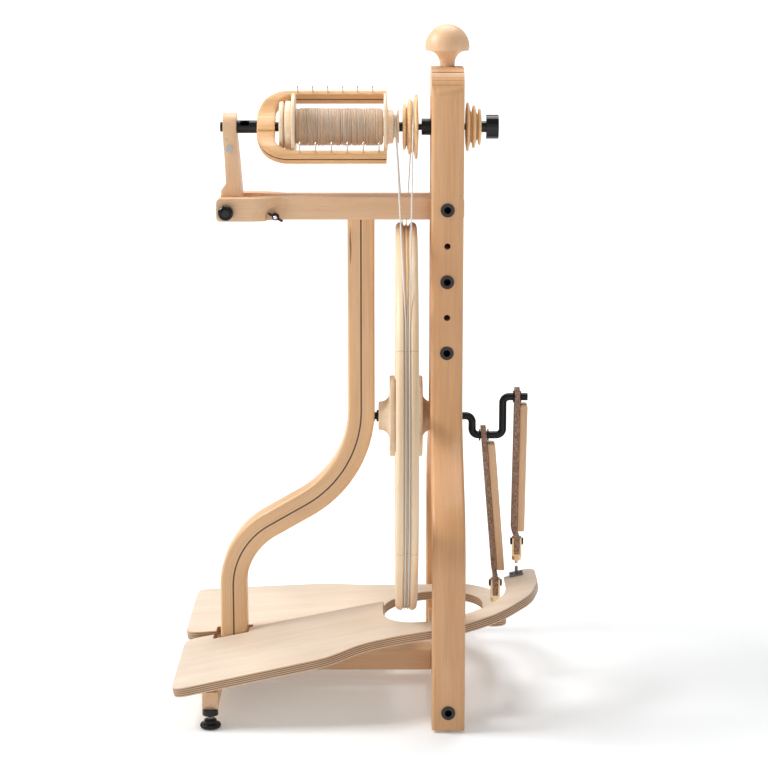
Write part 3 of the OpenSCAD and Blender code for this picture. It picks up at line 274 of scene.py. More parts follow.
def eased(points, reach, rounds=2):
    """Cuts each corner of an open profile at reach, or at 0.3 of a short side, again and again."""
    p = np.asarray(points, float)
    for k in range(rounds):
        gap = np.linalg.norm(np.diff(p, axis=0), axis=1)[:, None]
        share = np.minimum(0.3, reach / 2 ** k / np.maximum(gap, 1e-9))
        before = p[1:-1] + (p[:-2] - p[1:-1]) * share[:-1]
        after = p[1:-1] + (p[2:] - p[1:-1]) * share[1:]
        p = np.concatenate([p[:1], np.stack([before, after], 1).reshape(-1, 2), p[-1:]])
    return p


def drilled(ob, holes):
    """Cuts round holes along Y, each (x, z, low y, high y, radius), out of an object and keeps its grain.

    The grain of a new vertex is read off the nearest point of the undrilled surface.
    """
    whole = bmesh.new()
    whole.from_mesh(ob.data)
    bmesh.ops.triangulate(whole, faces=whole.faces[:])
    tree = BVHTree.FromBMesh(whole)
    grain = whole.verts.layers.float_vector["grain"]
    pins = [tube([(x, low, z), (x, high, z)], r, sides=40) for x, z, low, high, r in holes]
    verts, faces, _ = joined(*pins)
    tool = mesh_object("drill", verts, faces)
    mod = ob.modifiers.new("hole", "BOOLEAN")
    mod.object = tool
    mod.solver = "EXACT"
    bpy.context.view_layer.update()
    done = bpy.data.meshes.new_from_object(ob.evaluated_get(bpy.context.evaluated_depsgraph_get()))
    ob.modifiers.clear()
    ob.data = done
    bpy.data.objects.remove(tool)
    whole.faces.ensure_lookup_table()
    carried = []
    for vertex in done.vertices:
        near, _, index, _ = tree.find_nearest(vertex.co)
        corners = whole.faces[index].verts
        shares = poly_3d_calc([c.co for c in corners], near)
        carried.append(sum((c[grain] * w for c, w in zip(corners, shares)), Vector()))
    whole.free()
    if "grain" in done.attributes:
        done.attributes.remove(done.attributes["grain"])
    give_grain(done, carried)
    shade(done)


def on_axle(x, z):
    """Places a turned piece: along to +X from x, its axis at height z."""
    return lambda p: np.column_stack([x + p[:, 2], p[:, 0], z + p[:, 1]])


def on_y(x, y, z):
    """Places a turned piece: along to -Y from y."""
    return lambda p: np.column_stack([x + p[:, 0], y - p[:, 2], z + p[:, 1]])


# Materials

class Signal:
    """A value that a node puts out; its sums, products and comparisons add Math nodes."""

    def __init__(self, socket):
        self.socket = socket
        self.tree = socket.id_data

    def maths(self, operation, *others):
        n = node(self.tree, "ShaderNodeMath", dict(enumerate((self, *others))), operation=operation)
        return Signal(n.outputs[0])

    def __add__(self, other):
        return self.maths("ADD", other)

    def __sub__(self, other):
        return self.maths("SUBTRACT", other)

    def __mul__(self, other):
        return self.maths("MULTIPLY", other)

    def __mod__(self, other):
        return self.maths("MODULO", other)

    def __lt__(self, other):
        return self.maths("LESS_THAN", other)

    def __abs__(self):
        return self.maths("ABSOLUTE")

    def part(self, axis):
        """One coordinate of a vector."""
        return Signal(node(self.tree, "ShaderNodeSeparateXYZ", {0: self}).outputs[axis])


def feed(n, inputs):
    """Links or sets the inputs of a node, by name or number."""
    for key, value in inputs.items():
        socket = n.inputs[key]
        if isinstance(value, Signal):
            value.tree.links.new(value.socket, socket)
        elif socket.type == "RGBA":
            socket.default_value = (*value[:3], 1)
        else:
            socket.default_value = value


def node(tree, kind, inputs=(), **settings):
    """Adds a node with its settings and inputs."""
    n = tree.nodes.new(kind)
    for key, value in settings.items():
        setattr(n, key, value)
    feed(n, dict(inputs))
    return n


def coordinates(tree, kind="Object"):
    """The place of a point in its object, or its normal there."""
    return Signal(node(tree, "ShaderNodeTexCoord").outputs[kind])


def scaled(vector, scale):
    """A vector times scale, axis by axis."""
    n = node(vector.tree, "ShaderNodeVectorMath", {0: vector, 1: scale}, operation="MULTIPLY")
    return Signal(n.outputs[0])


def noise(vector, scale=1.0, detail=2.0, seed=None, **inputs):
    """Noise from 0 to 1 at a vector; a seed picks another one."""
    settings = {}
    if seed is not None:
        settings["noise_dimensions"] = "4D"
        inputs["W"] = seed
    inputs.update(Vector=vector, Scale=scale, Detail=detail)
    return Signal(node(vector.tree, "ShaderNodeTexNoise", inputs, **settings).outputs["Fac"])


def mixed(factor, a, b, blend="MIX"):
    """Colour a with b laid over it as far as factor says."""
    tree = next(v.tree for v in (factor, a, b) if isinstance(v, Signal))
    n = node(tree, "ShaderNodeMix", {0: factor, 6: a, 7: b}, data_type="RGBA", blend_type=blend)
    return Signal(n.outputs[2])


def ramp(source, *stops):
    """Turns a number into a shade of grey by straight lines between (position, value) stops."""
    n = node(source.tree, "ShaderNodeValToRGB", {0: source})
    elements = n.color_ramp.elements
    while len(elements) < len(stops):
        elements.new(0.5)
    for element, (position, value) in zip(elements, stops):
        element.position = position
        element.color = (value, value, value, 1)
    return Signal(n.outputs[0])


def group(name, inputs, outputs):
    """Starts a shader node group; returns its inputs as signals and its output node."""
    tree = bpy.data.node_groups.new(name, "ShaderNodeTree")
    for label, (kind, value) in inputs.items():
        socket = tree.interface.new_socket(label, in_out="INPUT", socket_type="NodeSocket" + kind)
        if value is not None:
            socket.default_value = value
    for label, kind in outputs.items():
        tree.interface.new_socket(label, in_out="OUTPUT", socket_type="NodeSocket" + kind)
    given = tree.nodes.new("NodeGroupInput").outputs
    return {label: Signal(given[label]) for label in inputs}, tree.nodes.new("NodeGroupOutput")


def make_fibre():
    """Wood fibres: long bands, fine lines and short pores, all drawn out along the grain's first axis."""
    given, out = group("wood_fibre", {
        "Vector": ("Vector", None), "Seed": ("Float", 0.0), "Figure": ("Float", 1.0),
        "Light": ("Color", (0.8, 0.6, 0.4, 1)), "Dark": ("Color", (0.6, 0.4, 0.2, 1)),
    }, {"Color": "Color", "Height": "Float", "Rough": "Float"})

    def drawn(stretch, detail, **inputs):
        return noise(scaled(given["Vector"], stretch), 1.0, detail, given["Seed"], **inputs)
    band = drawn((3.0, 42.0, 42.0), 3.0, Roughness=0.55, Distortion=0.6)
    fine = drawn((14.0, 520.0, 520.0), 4.0, Roughness=0.6)
    pore = drawn((90.0, 1500.0, 1500.0), 1.0)
    cloud = drawn((9.0, 9.0, 9.0), 2.0)
    tone = ramp(band, (0.34, 0.0), (0.66, 1.0)) * 0.55 + ramp(fine, (0.32, 0.0), (0.62, 1.0)) * 0.45
    tone = (tone - 0.5) * given["Figure"] + 0.5
    speck = ramp(pore, (0.30, 1.0), (0.36, 0.0))
    col = mixed(tone, given["Dark"], given["Light"])
    col = mixed(speck * 0.22, col, given["Dark"], "MULTIPLY")
    col = mixed(1.0, col, ramp(cloud, (0.3, 0.93), (0.7, 1.05)), "MULTIPLY")
    feed(out, {"Color": col, "Height": fine - speck * 0.35, "Rough": fine * 0.18 + 0.36})


def make_fine():
    """Fine surface: small noise in roughness and relief for moulded, painted and plated pieces."""
    given, out = group("fine_surface", {
        "Vector": ("Vector", None), "Scale": ("Float", 600.0),
        "Rough": ("Float", 0.4), "Spread": ("Float", 0.12),
    }, {"Rough": "Float", "Height": "Float", "Tone": "Float"})
    relief = noise(given["Vector"], given["Scale"], 3.0)
    tone = noise(given["Vector"], 38.0, 4.0)
    feed(out, {"Rough": given["Rough"] + (tone - 0.5) * given["Spread"], "Height": relief, "Tone": tone})


def surface(vector, kind, **inputs):
    """Places a node group at a vector; returns its outputs as signals, by name."""
    n = node(vector.tree, "ShaderNodeGroup", node_tree=bpy.data.node_groups[kind])
    feed(n, {"Vector": vector, **inputs})
    return {socket.name: Signal(socket) for socket in n.outputs}


def principled(tree, height, strength, distance, inputs):
    """Fills the Principled shader and gives it a relief of the given height."""
    bump = node(tree, "ShaderNodeBump", {"Height": height, "Strength": strength, "Distance": distance})
    feed(tree.nodes["Principled BSDF"], {**inputs, "Normal": Signal(bump.outputs["Normal"])})


def new_tree(name):
    """Makes a material and returns its node tree."""
    MAT[name] = bpy.data.materials.new(name)
    MAT[name].use_nodes = True
    return MAT[name].node_tree


def grain_source(tree, along):
    """The grain attribute, or object coordinates with the axis along put first."""
    if along == "grain":
        return Signal(node(tree, "ShaderNodeAttribute", attribute_name="grain").outputs["Vector"])
    co = coordinates(tree)
    order = {"X": (0, 1, 2), "Y": (1, 0, 2), "Z": (2, 0, 1)}[along]
    return Signal(node(tree, "ShaderNodeCombineXYZ", {i: co.part(k) for i, k in enumerate(order)}).outputs[0])


def wood(name, tones, seed, *marks, along="grain", figure=1.0, coat=0.12):
    """Oiled wood of a (light, dark) pair of tones, whose colour each mark changes along the grain."""
    tree = new_tree(name)
    grain = grain_source(tree, along)
    fibre = surface(grain, "wood_fibre", Light=tones[0], Dark=tones[1], Seed=seed, Figure=figure)
    col = fibre["Color"]
    for mark in marks:
        col = mark(col, grain)
    principled(tree, fibre["Height"], 0.12, 0.0004, {
        "Base Color": col, "Roughness": fibre["Rough"], "Coat Weight": coat, "Coat Roughness": 0.3})


def dark_ply(col, grain, seed):
    """A dark ply where the height is within half its thickness."""
    light, dark = (0.076, 0.0323, 0.0162), (0.040, 0.017, 0.009)
    core = surface(grain, "wood_fibre", Light=light, Dark=dark, Seed=seed)
    return mixed(abs(grain.part(2)) < PLY / 2, col, core["Color"])


def side_tint(col, grain, tint):
    """Tints what faces sideways: fully where the normal's |z| is under 0.55, not at all over 0.85."""
    upright = abs(coordinates(grain.tree, "Normal").part(2))
    return mixed(ramp(upright, (0.55, 1.0), (0.85, 0.0)), col, tint, "MULTIPLY")


def glue_lines(col, grain, heights, half, share=0.6, colour=(0.25, 0.14, 0.07)):
    """Lines at the given heights, half to each side, laid over the wood by share."""
    for at in heights:
        col = mixed((abs(grain.part(2) - at) < half) * share, col, colour)
    return col


def segment_joints(col, grain, pitch, half, colour=(0.25, 0.14, 0.07)):
    """Joints across the grain, one every pitch, half a pitch off its start."""
    off = abs((grain.part(0) + pitch * 8.5) % pitch - pitch / 2)
    return mixed((off < half) * 0.65, col, colour)


def streak(col, grain, middle, reach, tint):
    """A dark streak: an ellipse in length and height, whose rim wavers by a noise."""
    waver = (noise(scaled(grain, (0.25, 1, 1)), 160.0, 3.0) - 0.5) * 0.003
    x = (grain.part(0) - middle[0]) * (1 / reach[0])
    y = (grain.part(2) + waver - middle[1]) * (1 / reach[1])
    return mixed(ramp(x * x + y * y, (0.0, 0.9), (0.5, 0.8), (1.0, 0.0)), col, tint)


def plain(name, colour, rough, metallic=0.0, spread=0.12, bump=0.1, vary=0.0, coat=0.0, shine=0.5):
    """Moulded, painted or plated surface with fine relief and uneven gloss."""
    tree = new_tree(name)
    fine = surface(coordinates(tree), "fine_surface", Rough=rough, Spread=spread)
    if vary:
        low, high = np.outer((1 - vary, 1 + vary), colour).clip(0, 1)
        colour = mixed(fine["Tone"], low, high)
    principled(tree, fine["Height"], bump, 0.0002, {
        "Base Color": colour, "Roughness": fine["Rough"], "Metallic": metallic, "Coat Weight": coat,
        "Specular IOR Level": shine})


def painted_socket_shade(name, colour, reach):
    """Paints shade into the sockets of the bolts along Y, as far as reach from each bolt's axis: near-black
    colour and almost no specular.
    """
    tree = MAT[name].node_tree
    inside = None
    for z in BOLT_ZS:
        axis = {0: coordinates(tree), 1: (LEG_X, 0, z)}
        off = node(tree, "ShaderNodeVectorMath", axis, operation="SUBTRACT")
        across = scaled(Signal(off.outputs[0]), (1, 0, 1))
        far = node(tree, "ShaderNodeVectorMath", {0: across}, operation="LENGTH")
        near = Signal(far.outputs["Value"]) < reach
        inside = inside.maths("MAXIMUM", near) if inside else near
    # Painted shade: inside a socket the colour turns near black and the highlight is dropped.
    feed(tree.nodes["Principled BSDF"], {
        "Base Color": mixed(inside, colour, (0.0015, 0.0015, 0.0015)),
        "Specular IOR Level": inside * -0.48 + 0.5})


def speckled(name, ground, fleck, dark):
    """Worn belting: a brown ground with paler and darker flecks and a fibrous relief."""
    tree = new_tree(name)
    co = coordinates(tree)
    fibres = noise(scaled(co, (1.0, 1.0, 0.45)), 850.0, 4.0, Roughness=0.7)
    col = mixed(ramp(fibres, (0.42, 0.0), (0.68, 1.0)), ground, fleck)
    col = mixed(ramp(noise(co, 300.0, 3.0), (0.35, 0.55), (0.6, 0.0)), col, dark)
    principled(tree, fibres, 0.35, 0.0004, {"Base Color": col, "Roughness": 0.82})


def twisted(name, tones, pitch, rough=0.8, streaks=0.0):
    """Twisted cord or yarn: |sin 2 pi (length / pitch + share of the way round)|, with fibres over it; where
    it is low, the darker tone is painted shade between the plies.
    """
    tree = new_tree(name)
    grain = grain_source(tree, "grain")
    turn = grain.part(0) * (1.0 / pitch) + grain.part(1)
    wave = abs((turn * (math.pi * 2)).maths("SINE"))
    fibres = noise(scaled(grain, (900.0, 7.0, 1.0)), 1.0, 4.0, Roughness=0.65) * 0.6
    # Painted shade: the second tone fills the grooves between the plies.
    col = mixed(wave * 0.5 + fibres, tones[1], tones[0])
    if streaks:
        runs = noise(scaled(grain, (22.0, 1.0, 1.0)), 1.0, 3.0)
        grey = ramp(runs, (0.38, streaks), (0.52, 0.0), (0.64, 0.0), (0.72, streaks * 0.8))
        col = mixed(grey, col, (0.62, 0.58, 0.52))
    principled(tree, wave + fibres, 0.5, 0.0006, {
        "Base Color": col, "Roughness": rough, "Sheen Weight": 0.35})


def make_woods(colours):
    """The woods of the frame, the wheel, the flyer and the treadles."""
    def tones(key):
        return getattr(colours, key), getattr(colours, key + "_dark")
    plies = partial(glue_lines, heights=(-0.0130, -0.0100, -0.0070, -0.0040, 0.0040, 0.0070, 0.0100))
    mark = partial(streak, middle=(0.034, -0.0131), reach=(0.026, 0.0012), tint=(0.22, 0.09, 0.035))
    fine, coarse = partial(plies, half=0.0001), partial(plies, half=0.00018)
    wood("post_maple", tones("post"), 1, partial(dark_ply, seed=4), fine, mark, coat=0.4)
    wood("leg_maple", tones("leg"), 2, partial(dark_ply, seed=5), coarse)
    wood("maple", tones("maple"), 4)
    wood("maple_upright", tones("maple"), 5, along="Z")
    wood("walnut", tones("walnut"), 8, along="Y")
    wood("flyer_maple", tones("flyer"), 9, partial(dark_ply, seed=12))
    segments = partial(segment_joints, pitch=2 * math.pi * WHEEL_R / 6, half=0.00035)
    wood("rim_maple", tones("rim"), 10, segments, figure=0.8)
    wood("whorl_maple", tones("whorl"), 15, along="X")
    wood("turned_maple", tones("turned"), 12)
    wood("bobbin_maple", tones("bobbin"), 13, along="X", figure=0.8)
    edge = partial(side_tint, tint=(0.84, 0.66, 0.50))
    layers = partial(glue_lines, heights=(0.0140, 0.0164, 0.0188, 0.0212), half=0.00065, share=0.8,
                     colour=(0.12, 0.055, 0.028))
    wood("birch_ply", tones("birch"), 14, edge, layers, figure=0.9)


def make_metals_and_plastics(colours):
    """The metals, the black plastics and the rubber."""
    plain("black_metal", colours.black, 0.38, bump=0.15, shine=0.3)
    plain("browned_bolt", colours.bolt, 0.42, bump=0.2)
    # Painted shade in the sockets of the bolt heads.
    painted_socket_shade("browned_bolt", colours.bolt, 0.0043)
    plain("black_gloss", (0.006, 0.006, 0.007), 0.16, spread=0.06, bump=0.03, coat=0.1, shine=0.3)
    plain("black_plastic", colours.black, 0.30, bump=0.08, shine=0.3)
    plain("rubber", (0.012, 0.012, 0.012), 0.7, bump=0.2, shine=0.3)
    plain("bright_steel", (0.68, 0.68, 0.70), 0.26, metallic=1.0, bump=0.05, vary=0.05)
    plain("grey_metal", (0.26, 0.25, 0.24), 0.34, metallic=1.0, bump=0.2, vary=0.3)
    plain("yellow_zinc", colours.zinc, 0.30, metallic=1.0, bump=0.1, vary=0.14)


def make_cords(colours):
    """The belting of the footmen, the drive band's cord and the yarn."""
    speckled("footman_belting", (0.27, 0.15, 0.095), (0.62, 0.42, 0.31), (0.10, 0.05, 0.032))
    # The second tone of the cord and of the yarn is painted shade between their plies.
    twisted("band_cord", (colours.cord, colours.cord_groove_shade), 0.004)
    twisted("wool_yarn", (colours.yarn, colours.yarn_groove_shade), 0.006, rough=0.9, streaks=0.35)


def colour(label, default):
    """A colour that the user may change."""
    return bpy.props.FloatVectorProperty(
        name=label, description=label + ", in linear values", default=default, size=3, min=0, max=1,
        subtype="COLOR")


def length(label, description, default, low, high):
    """A length that the user may change."""
    return bpy.props.FloatProperty(
        name=label, description=description, default=default, min=low, max=high, subtype="DISTANCE",
        unit="LENGTH")


def number(label, description, default, low, high):
    """A whole number that the user may change."""
    return bpy.props.IntProperty(name=label, description=description, default=default, min=low, max=high)


# Values that the user may change

class SpinnerColours(bpy.types.PropertyGroup):
    """Colours of the woods, cords and metals"""

    maple: colour("Maple", (0.84, 0.56, 0.335))
    maple_dark: colour("Maple, dark grain", (0.70, 0.42, 0.235))
    post: colour("Post", (0.83, 0.54, 0.295))
    post_dark: colour("Post, dark grain", (0.69, 0.405, 0.20))
    leg: colour("Legs", (0.76, 0.435, 0.215))
    leg_dark: colour("Legs, dark grain", (0.61, 0.315, 0.138))
    flyer: colour("Flyer", (0.79, 0.48, 0.23))
    flyer_dark: colour("Flyer, dark grain", (0.60, 0.33, 0.14))
    rim: colour("Wheel rim", (0.91, 0.71, 0.49))
    rim_dark: colour("Wheel rim, dark grain", (0.78, 0.55, 0.34))
    turned: colour("Hub and spokes", (0.88, 0.71, 0.51))
    turned_dark: colour("Hub and spokes, dark grain", (0.75, 0.55, 0.36))
    whorl: colour("Whorls", (0.90, 0.64, 0.36))
    whorl_dark: colour("Whorls, dark grain", (0.74, 0.46, 0.22))
    bobbin: colour("Bobbin", (0.90, 0.74, 0.55))
    bobbin_dark: colour("Bobbin, dark grain", (0.76, 0.57, 0.38))
    birch: colour("Treadles", (0.86, 0.75, 0.62))
    birch_dark: colour("Treadles, dark grain", (0.77, 0.61, 0.465))
    walnut: colour("Head plate", (0.12, 0.06, 0.035))
    walnut_dark: colour("Head plate, dark grain", (0.05, 0.024, 0.014))
    cord: colour("Drive band", (0.86, 0.85, 0.80))
    # Painted shade in the grooves between the cord's plies.
    cord_groove_shade: colour("Drive band, between the plies", (0.52, 0.50, 0.45))
    yarn: colour("Yarn", (0.80, 0.58, 0.40))
    # Painted shade in the grooves between the yarn's plies.
    yarn_groove_shade: colour("Yarn, between the plies", (0.42, 0.27, 0.165))
    black: colour("Black fittings", (0.008, 0.008, 0.009))
    bolt: colour("Bolt heads", (0.026, 0.017, 0.016))
    zinc: colour("Clevises", (0.78, 0.56, 0.32))


class SpinnerSizes(bpy.types.PropertyGroup):
    """Sizes that the user may change"""

    leg_edge: length("Leg edges", "Rounding of the legs' long edges", 0.004, 0.0005, 0.008)
    post_edge: length("Post edges", "Rounding of the post's long edges", 0.0035, 0.0005, 0.008)
    board_edge: length("Board edges", "Rounding of the boards and stretchers", 0.0022, 0.0005, 0.004)
    rail_edge: length("Rail edges", "Rounding of the rails", 0.0032, 0.0005, 0.004)
    treadle_edge: length("Treadle edges", "Rounding of the treadles' edges", 0.0016, 0.0005, 0.004)
    cord_radius: length("Cord radius", "Radius of the drive band's cord", 0.00098, 0.0005, 0.00099)
    cord_sides: number("Cord sides", "Sides of the drive band's section", 8, 6, 16)
    wire_radius: length("Hook wire", "Radius of the flyer hooks' wire", 0.0008, 0.0004, 0.0008)
    yarn_turns: number("Yarn turns", "Turns of yarn along the bobbin", 56, 20, 60)


# Pieces

class Piece:
    """Settings that every operator has."""

    bl_options = {"REGISTER", "UNDO"}


class SPINNER_OT_materials(Piece, bpy.types.Operator):
    """Woods, metals, plastics and cords"""

    bl_idname = "spinner.materials"
    bl_label = "Materials"

    def execute(self, context):
        make_fibre()
        make_fine()
        make_woods(context.scene.spinner_colours)
        make_metals_and_plastics(context.scene.spinner_colours)
        make_cords(context.scene.spinner_colours)
        return {"FINISHED"}


class SPINNER_OT_post(Piece, bpy.types.Operator):
    """Front post: an S-bent lamination with a dark ply at its middle"""

    bl_idname = "spinner.post"
    bl_label = "Front post"

    def execute(self, context):
        low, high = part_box("post_walnut_ply")
        half, width = 0.017, 0.036
        path = s_bend(knee=0.143, ankle=0.094, lean=math.radians(60), slant=0.055,
                      top_z=high.z, bend_z=0.361, foot_z=low.z)
        rows, grain = strip(path, -half, half, width, context.scene.spinner_sizes.post_edge)
        ob = mesh_object("front_post", rows + (high.x - PLY / 2, 0, 0), skin(rows), grain)
        seat(ob, "frame", "post_maple",
             ["post_front_lamination", "post_walnut_ply", "post_rear_lamination"])
        return {"FINISHED"}


class SPINNER_OT_legs(Piece, bpy.types.Operator):
    """Uprights that bend out into the rear legs, with a quarter round over each top"""

    bl_idname = "spinner.legs"
    bl_label = "Uprights and legs"

    # Distances of the upright's faces and of its dark ply from the middle plane, and of the leg's foot.
    OUTER, PLY_Y, INNER, FOOT = 0.058, 0.042, 0.028, 0.206
    WIDTH = 0.040
    # Heights of the spare holes, and length of the grain over each top.
    SPARE_ZS = (0.5763, 0.4871)
    TOP_GRAIN = 0.03

    def execute(self, context):
        bend_r, over = 0.085, 0.033
        straight_z, top_z = 0.759, 0.793
        path = s_bend(knee=bend_r, ankle=bend_r, lean=math.radians(55), slant=0.092,
                      top_z=straight_z, bend_z=0.388, foot_z=0.003, straight=8)
        rows, grain = strip(path, self.PLY_Y - self.OUTER, self.PLY_Y - self.INNER, self.WIDTH,
                            context.scene.spinner_sizes.leg_edge, side=8)
        x, w, z = rows[0].T
        past = np.maximum(self.PLY_Y - x - (self.OUTER - over), 0)
        round_z = top_z - over + np.sqrt(np.maximum(over ** 2 - past ** 2, 0))
        up = np.linspace(1, 0.2, 5)[:, None]
        rows = np.concatenate([stacked(x, w, z + up * (round_z - straight_z)), rows])
        grain = np.concatenate([grain[0] - up[..., None] * (self.TOP_GRAIN, 0, 0), grain])
        for sign, side in SIDES:
            verts = stacked(LEG_X + rows[..., 1], sign * (self.PLY_Y - rows[..., 0]), rows[..., 2])
            ob = mesh_object(side + "_leg", verts, skin(rows), grain)
            drilled(ob, self.holes(sign))
            seat(ob, "frame", "leg_maple",
                 [side + "_leg_outer", side + "_leg_walnut", side + "_leg_inner"])
        return {"FINISHED"}

    def holes(self, sign):
        """Recesses for the bolts' heads, and the two spare holes, which go right through."""
        head_r, sunk, spare_r, beyond = 0.0086, 0.006, 0.00395, 0.010
        spans = [(z, self.OUTER - sunk, self.OUTER + beyond, head_r) for z in BOLT_ZS[:3]]
        spans.append((BOLT_ZS[3], self.FOOT - sunk, self.FOOT + beyond, head_r))
        spans += [(z, self.INNER - beyond, self.OUTER + beyond, spare_r) for z in self.SPARE_ZS]
        return [(LEG_X, z, *sorted((sign * near, sign * far)), r) for z, near, far, r in spans]


class SPINNER_OT_boards(Piece, bpy.types.Operator):
    """Rails, front maiden, head block, bearing block, axle board, spine, foot bar and stretcher"""

    bl_idname = "spinner.boards"
    bl_label = "Rails and boards"

    def execute(self, context):
        sizes = context.scene.spinner_sizes
        rail, board = sizes.rail_edge, sizes.board_edge
        maiden, head = 0.003, 0.001
        for cad, body, edge, along, least in (
                ("near_rail", "frame", rail, "X", 40), ("far_rail", "frame", rail, "X", 40),
                ("front_maiden", "frame", maiden, "Z", 30), ("head_block", "frame", head, "Y", 40),
                ("axle_board", "frame", board, "Z", 40), ("bearing_block", "rear_bearing", board, "Y", 40),
                ("foot_bar", "frame", board, "Y", 40), ("rear_stretcher", "frame", board, "Y", 40),
                ("spine", "frame", board, "X", 40)):
            seat(softened(cad, edge, along, least), body, "maple", [cad])
        return {"FINISHED"}


class SPINNER_OT_wheel(Piece, bpy.types.Operator):
    """Drive wheel: a rim of six segments with two V grooves, and turned spokes"""

    bl_idname = "spinner.wheel"
    bl_label = "Drive wheel"

    def execute(self, context):
        self.rim()
        self.spokes()
        return {"FINISHED"}

    def rim(self):
        """The rim's section turned about the axle: (x, r sin a, r cos a), with a seam for the grain."""
        inside, half, edge, steps = WHEEL_R - 0.036, 0.0135, 0.006, 168
        deep, groove_x, slope = 0.005, 0.0022, math.tan(math.radians(35))
        wide = groove_x + deep * slope
        ridge = WHEEL_R - deep + groove_x / slope
        bottom = WHEEL_R - deep

        def corner(r, x, start):
            return (r, x) + edge * ray(np.radians(start + np.linspace(0, 90, 7)))
        profile = np.concatenate([
            corner(inside + edge, edge - half, 180), corner(WHEEL_R - edge, edge - half, 270),
            [(WHEEL_R, -wide), (bottom, -groove_x), (ridge, 0), (bottom, groove_x), (WHEEL_R, wide)],
            corner(WHEEL_R - edge, half - edge, 0), corner(inside + edge, half - edge, 90)])
        r, x = profile.T
        a = np.linspace(0, 2 * math.pi, steps + 1)[:, None]
        rows = stacked(WHEEL_X + x, r * np.sin(a), AXLE_Z + r * np.cos(a))
        ob = mesh_object("rim", rows, skin(rows, caps=False), stacked(a * WHEEL_R, x, r), sharp=28)
        seat(ob, "wheel", "rim_maple", ["wheel_rim"])

    def spokes(self):
        """Eight spokes: each a circle along its radius, whose own radius swells by sin(pi t) to the 0.8."""
        hub_r, rim_r, thin, swell = 0.038, 0.2195, 0.0050, 0.0025
        t = np.linspace(0, 1, 35)[:, None]
        belly = np.sin(math.pi * np.clip((t - 0.06) / 0.88, 0, 1))
        c, s = (thin + swell * belly ** 0.8) * ray(math.pi / 8 * np.arange(16)).T[:, None]
        r = hub_r + (rim_r - hub_r) * t
        parts = []
        for i in range(8):
            out_z, out_y = ray((i + 0.5) * math.pi / 4)
            rows = stacked(WHEEL_X + c, r * out_y + s * out_z, AXLE_Z + r * out_z - s * out_y)
            parts.append((rows.reshape(-1, 3), skin(rows, caps=False), stacked(r + i, c, s).reshape(-1, 3)))
        seat(mesh_object("spokes", *joined(*parts)), "wheel", "turned_maple", ["wheel_spokes"])


class SPINNER_OT_treadles(Piece, bpy.types.Operator):
    """Treadle boards of birch ply, with their glue lines round the edge"""

    bl_idname = "spinner.treadles"
    bl_label = "Treadles"

    def execute(self, context):
        for cad, slope in (("near_treadle", 11.6), ("far_treadle", 3.6)):
            flat = partial(self.levelled, a=math.radians(slope))
            ob = softened(cad, context.scene.spinner_sizes.treadle_edge, turn=flat)
            seat(ob, cad, "birch_ply", [cad])
        return {"FINISHED"}

    @staticmethod
    def levelled(co, a):
        """Points turned back about the hinge by a, so that the board's plies lie level in the grain."""
        x, z = co[:, 0] - HINGE_X, co[:, 2] - HINGE_Z
        c, s = math.cos(a), math.sin(a)
        return np.column_stack([x * c + z * s, co[:, 1], z * c - x * s])


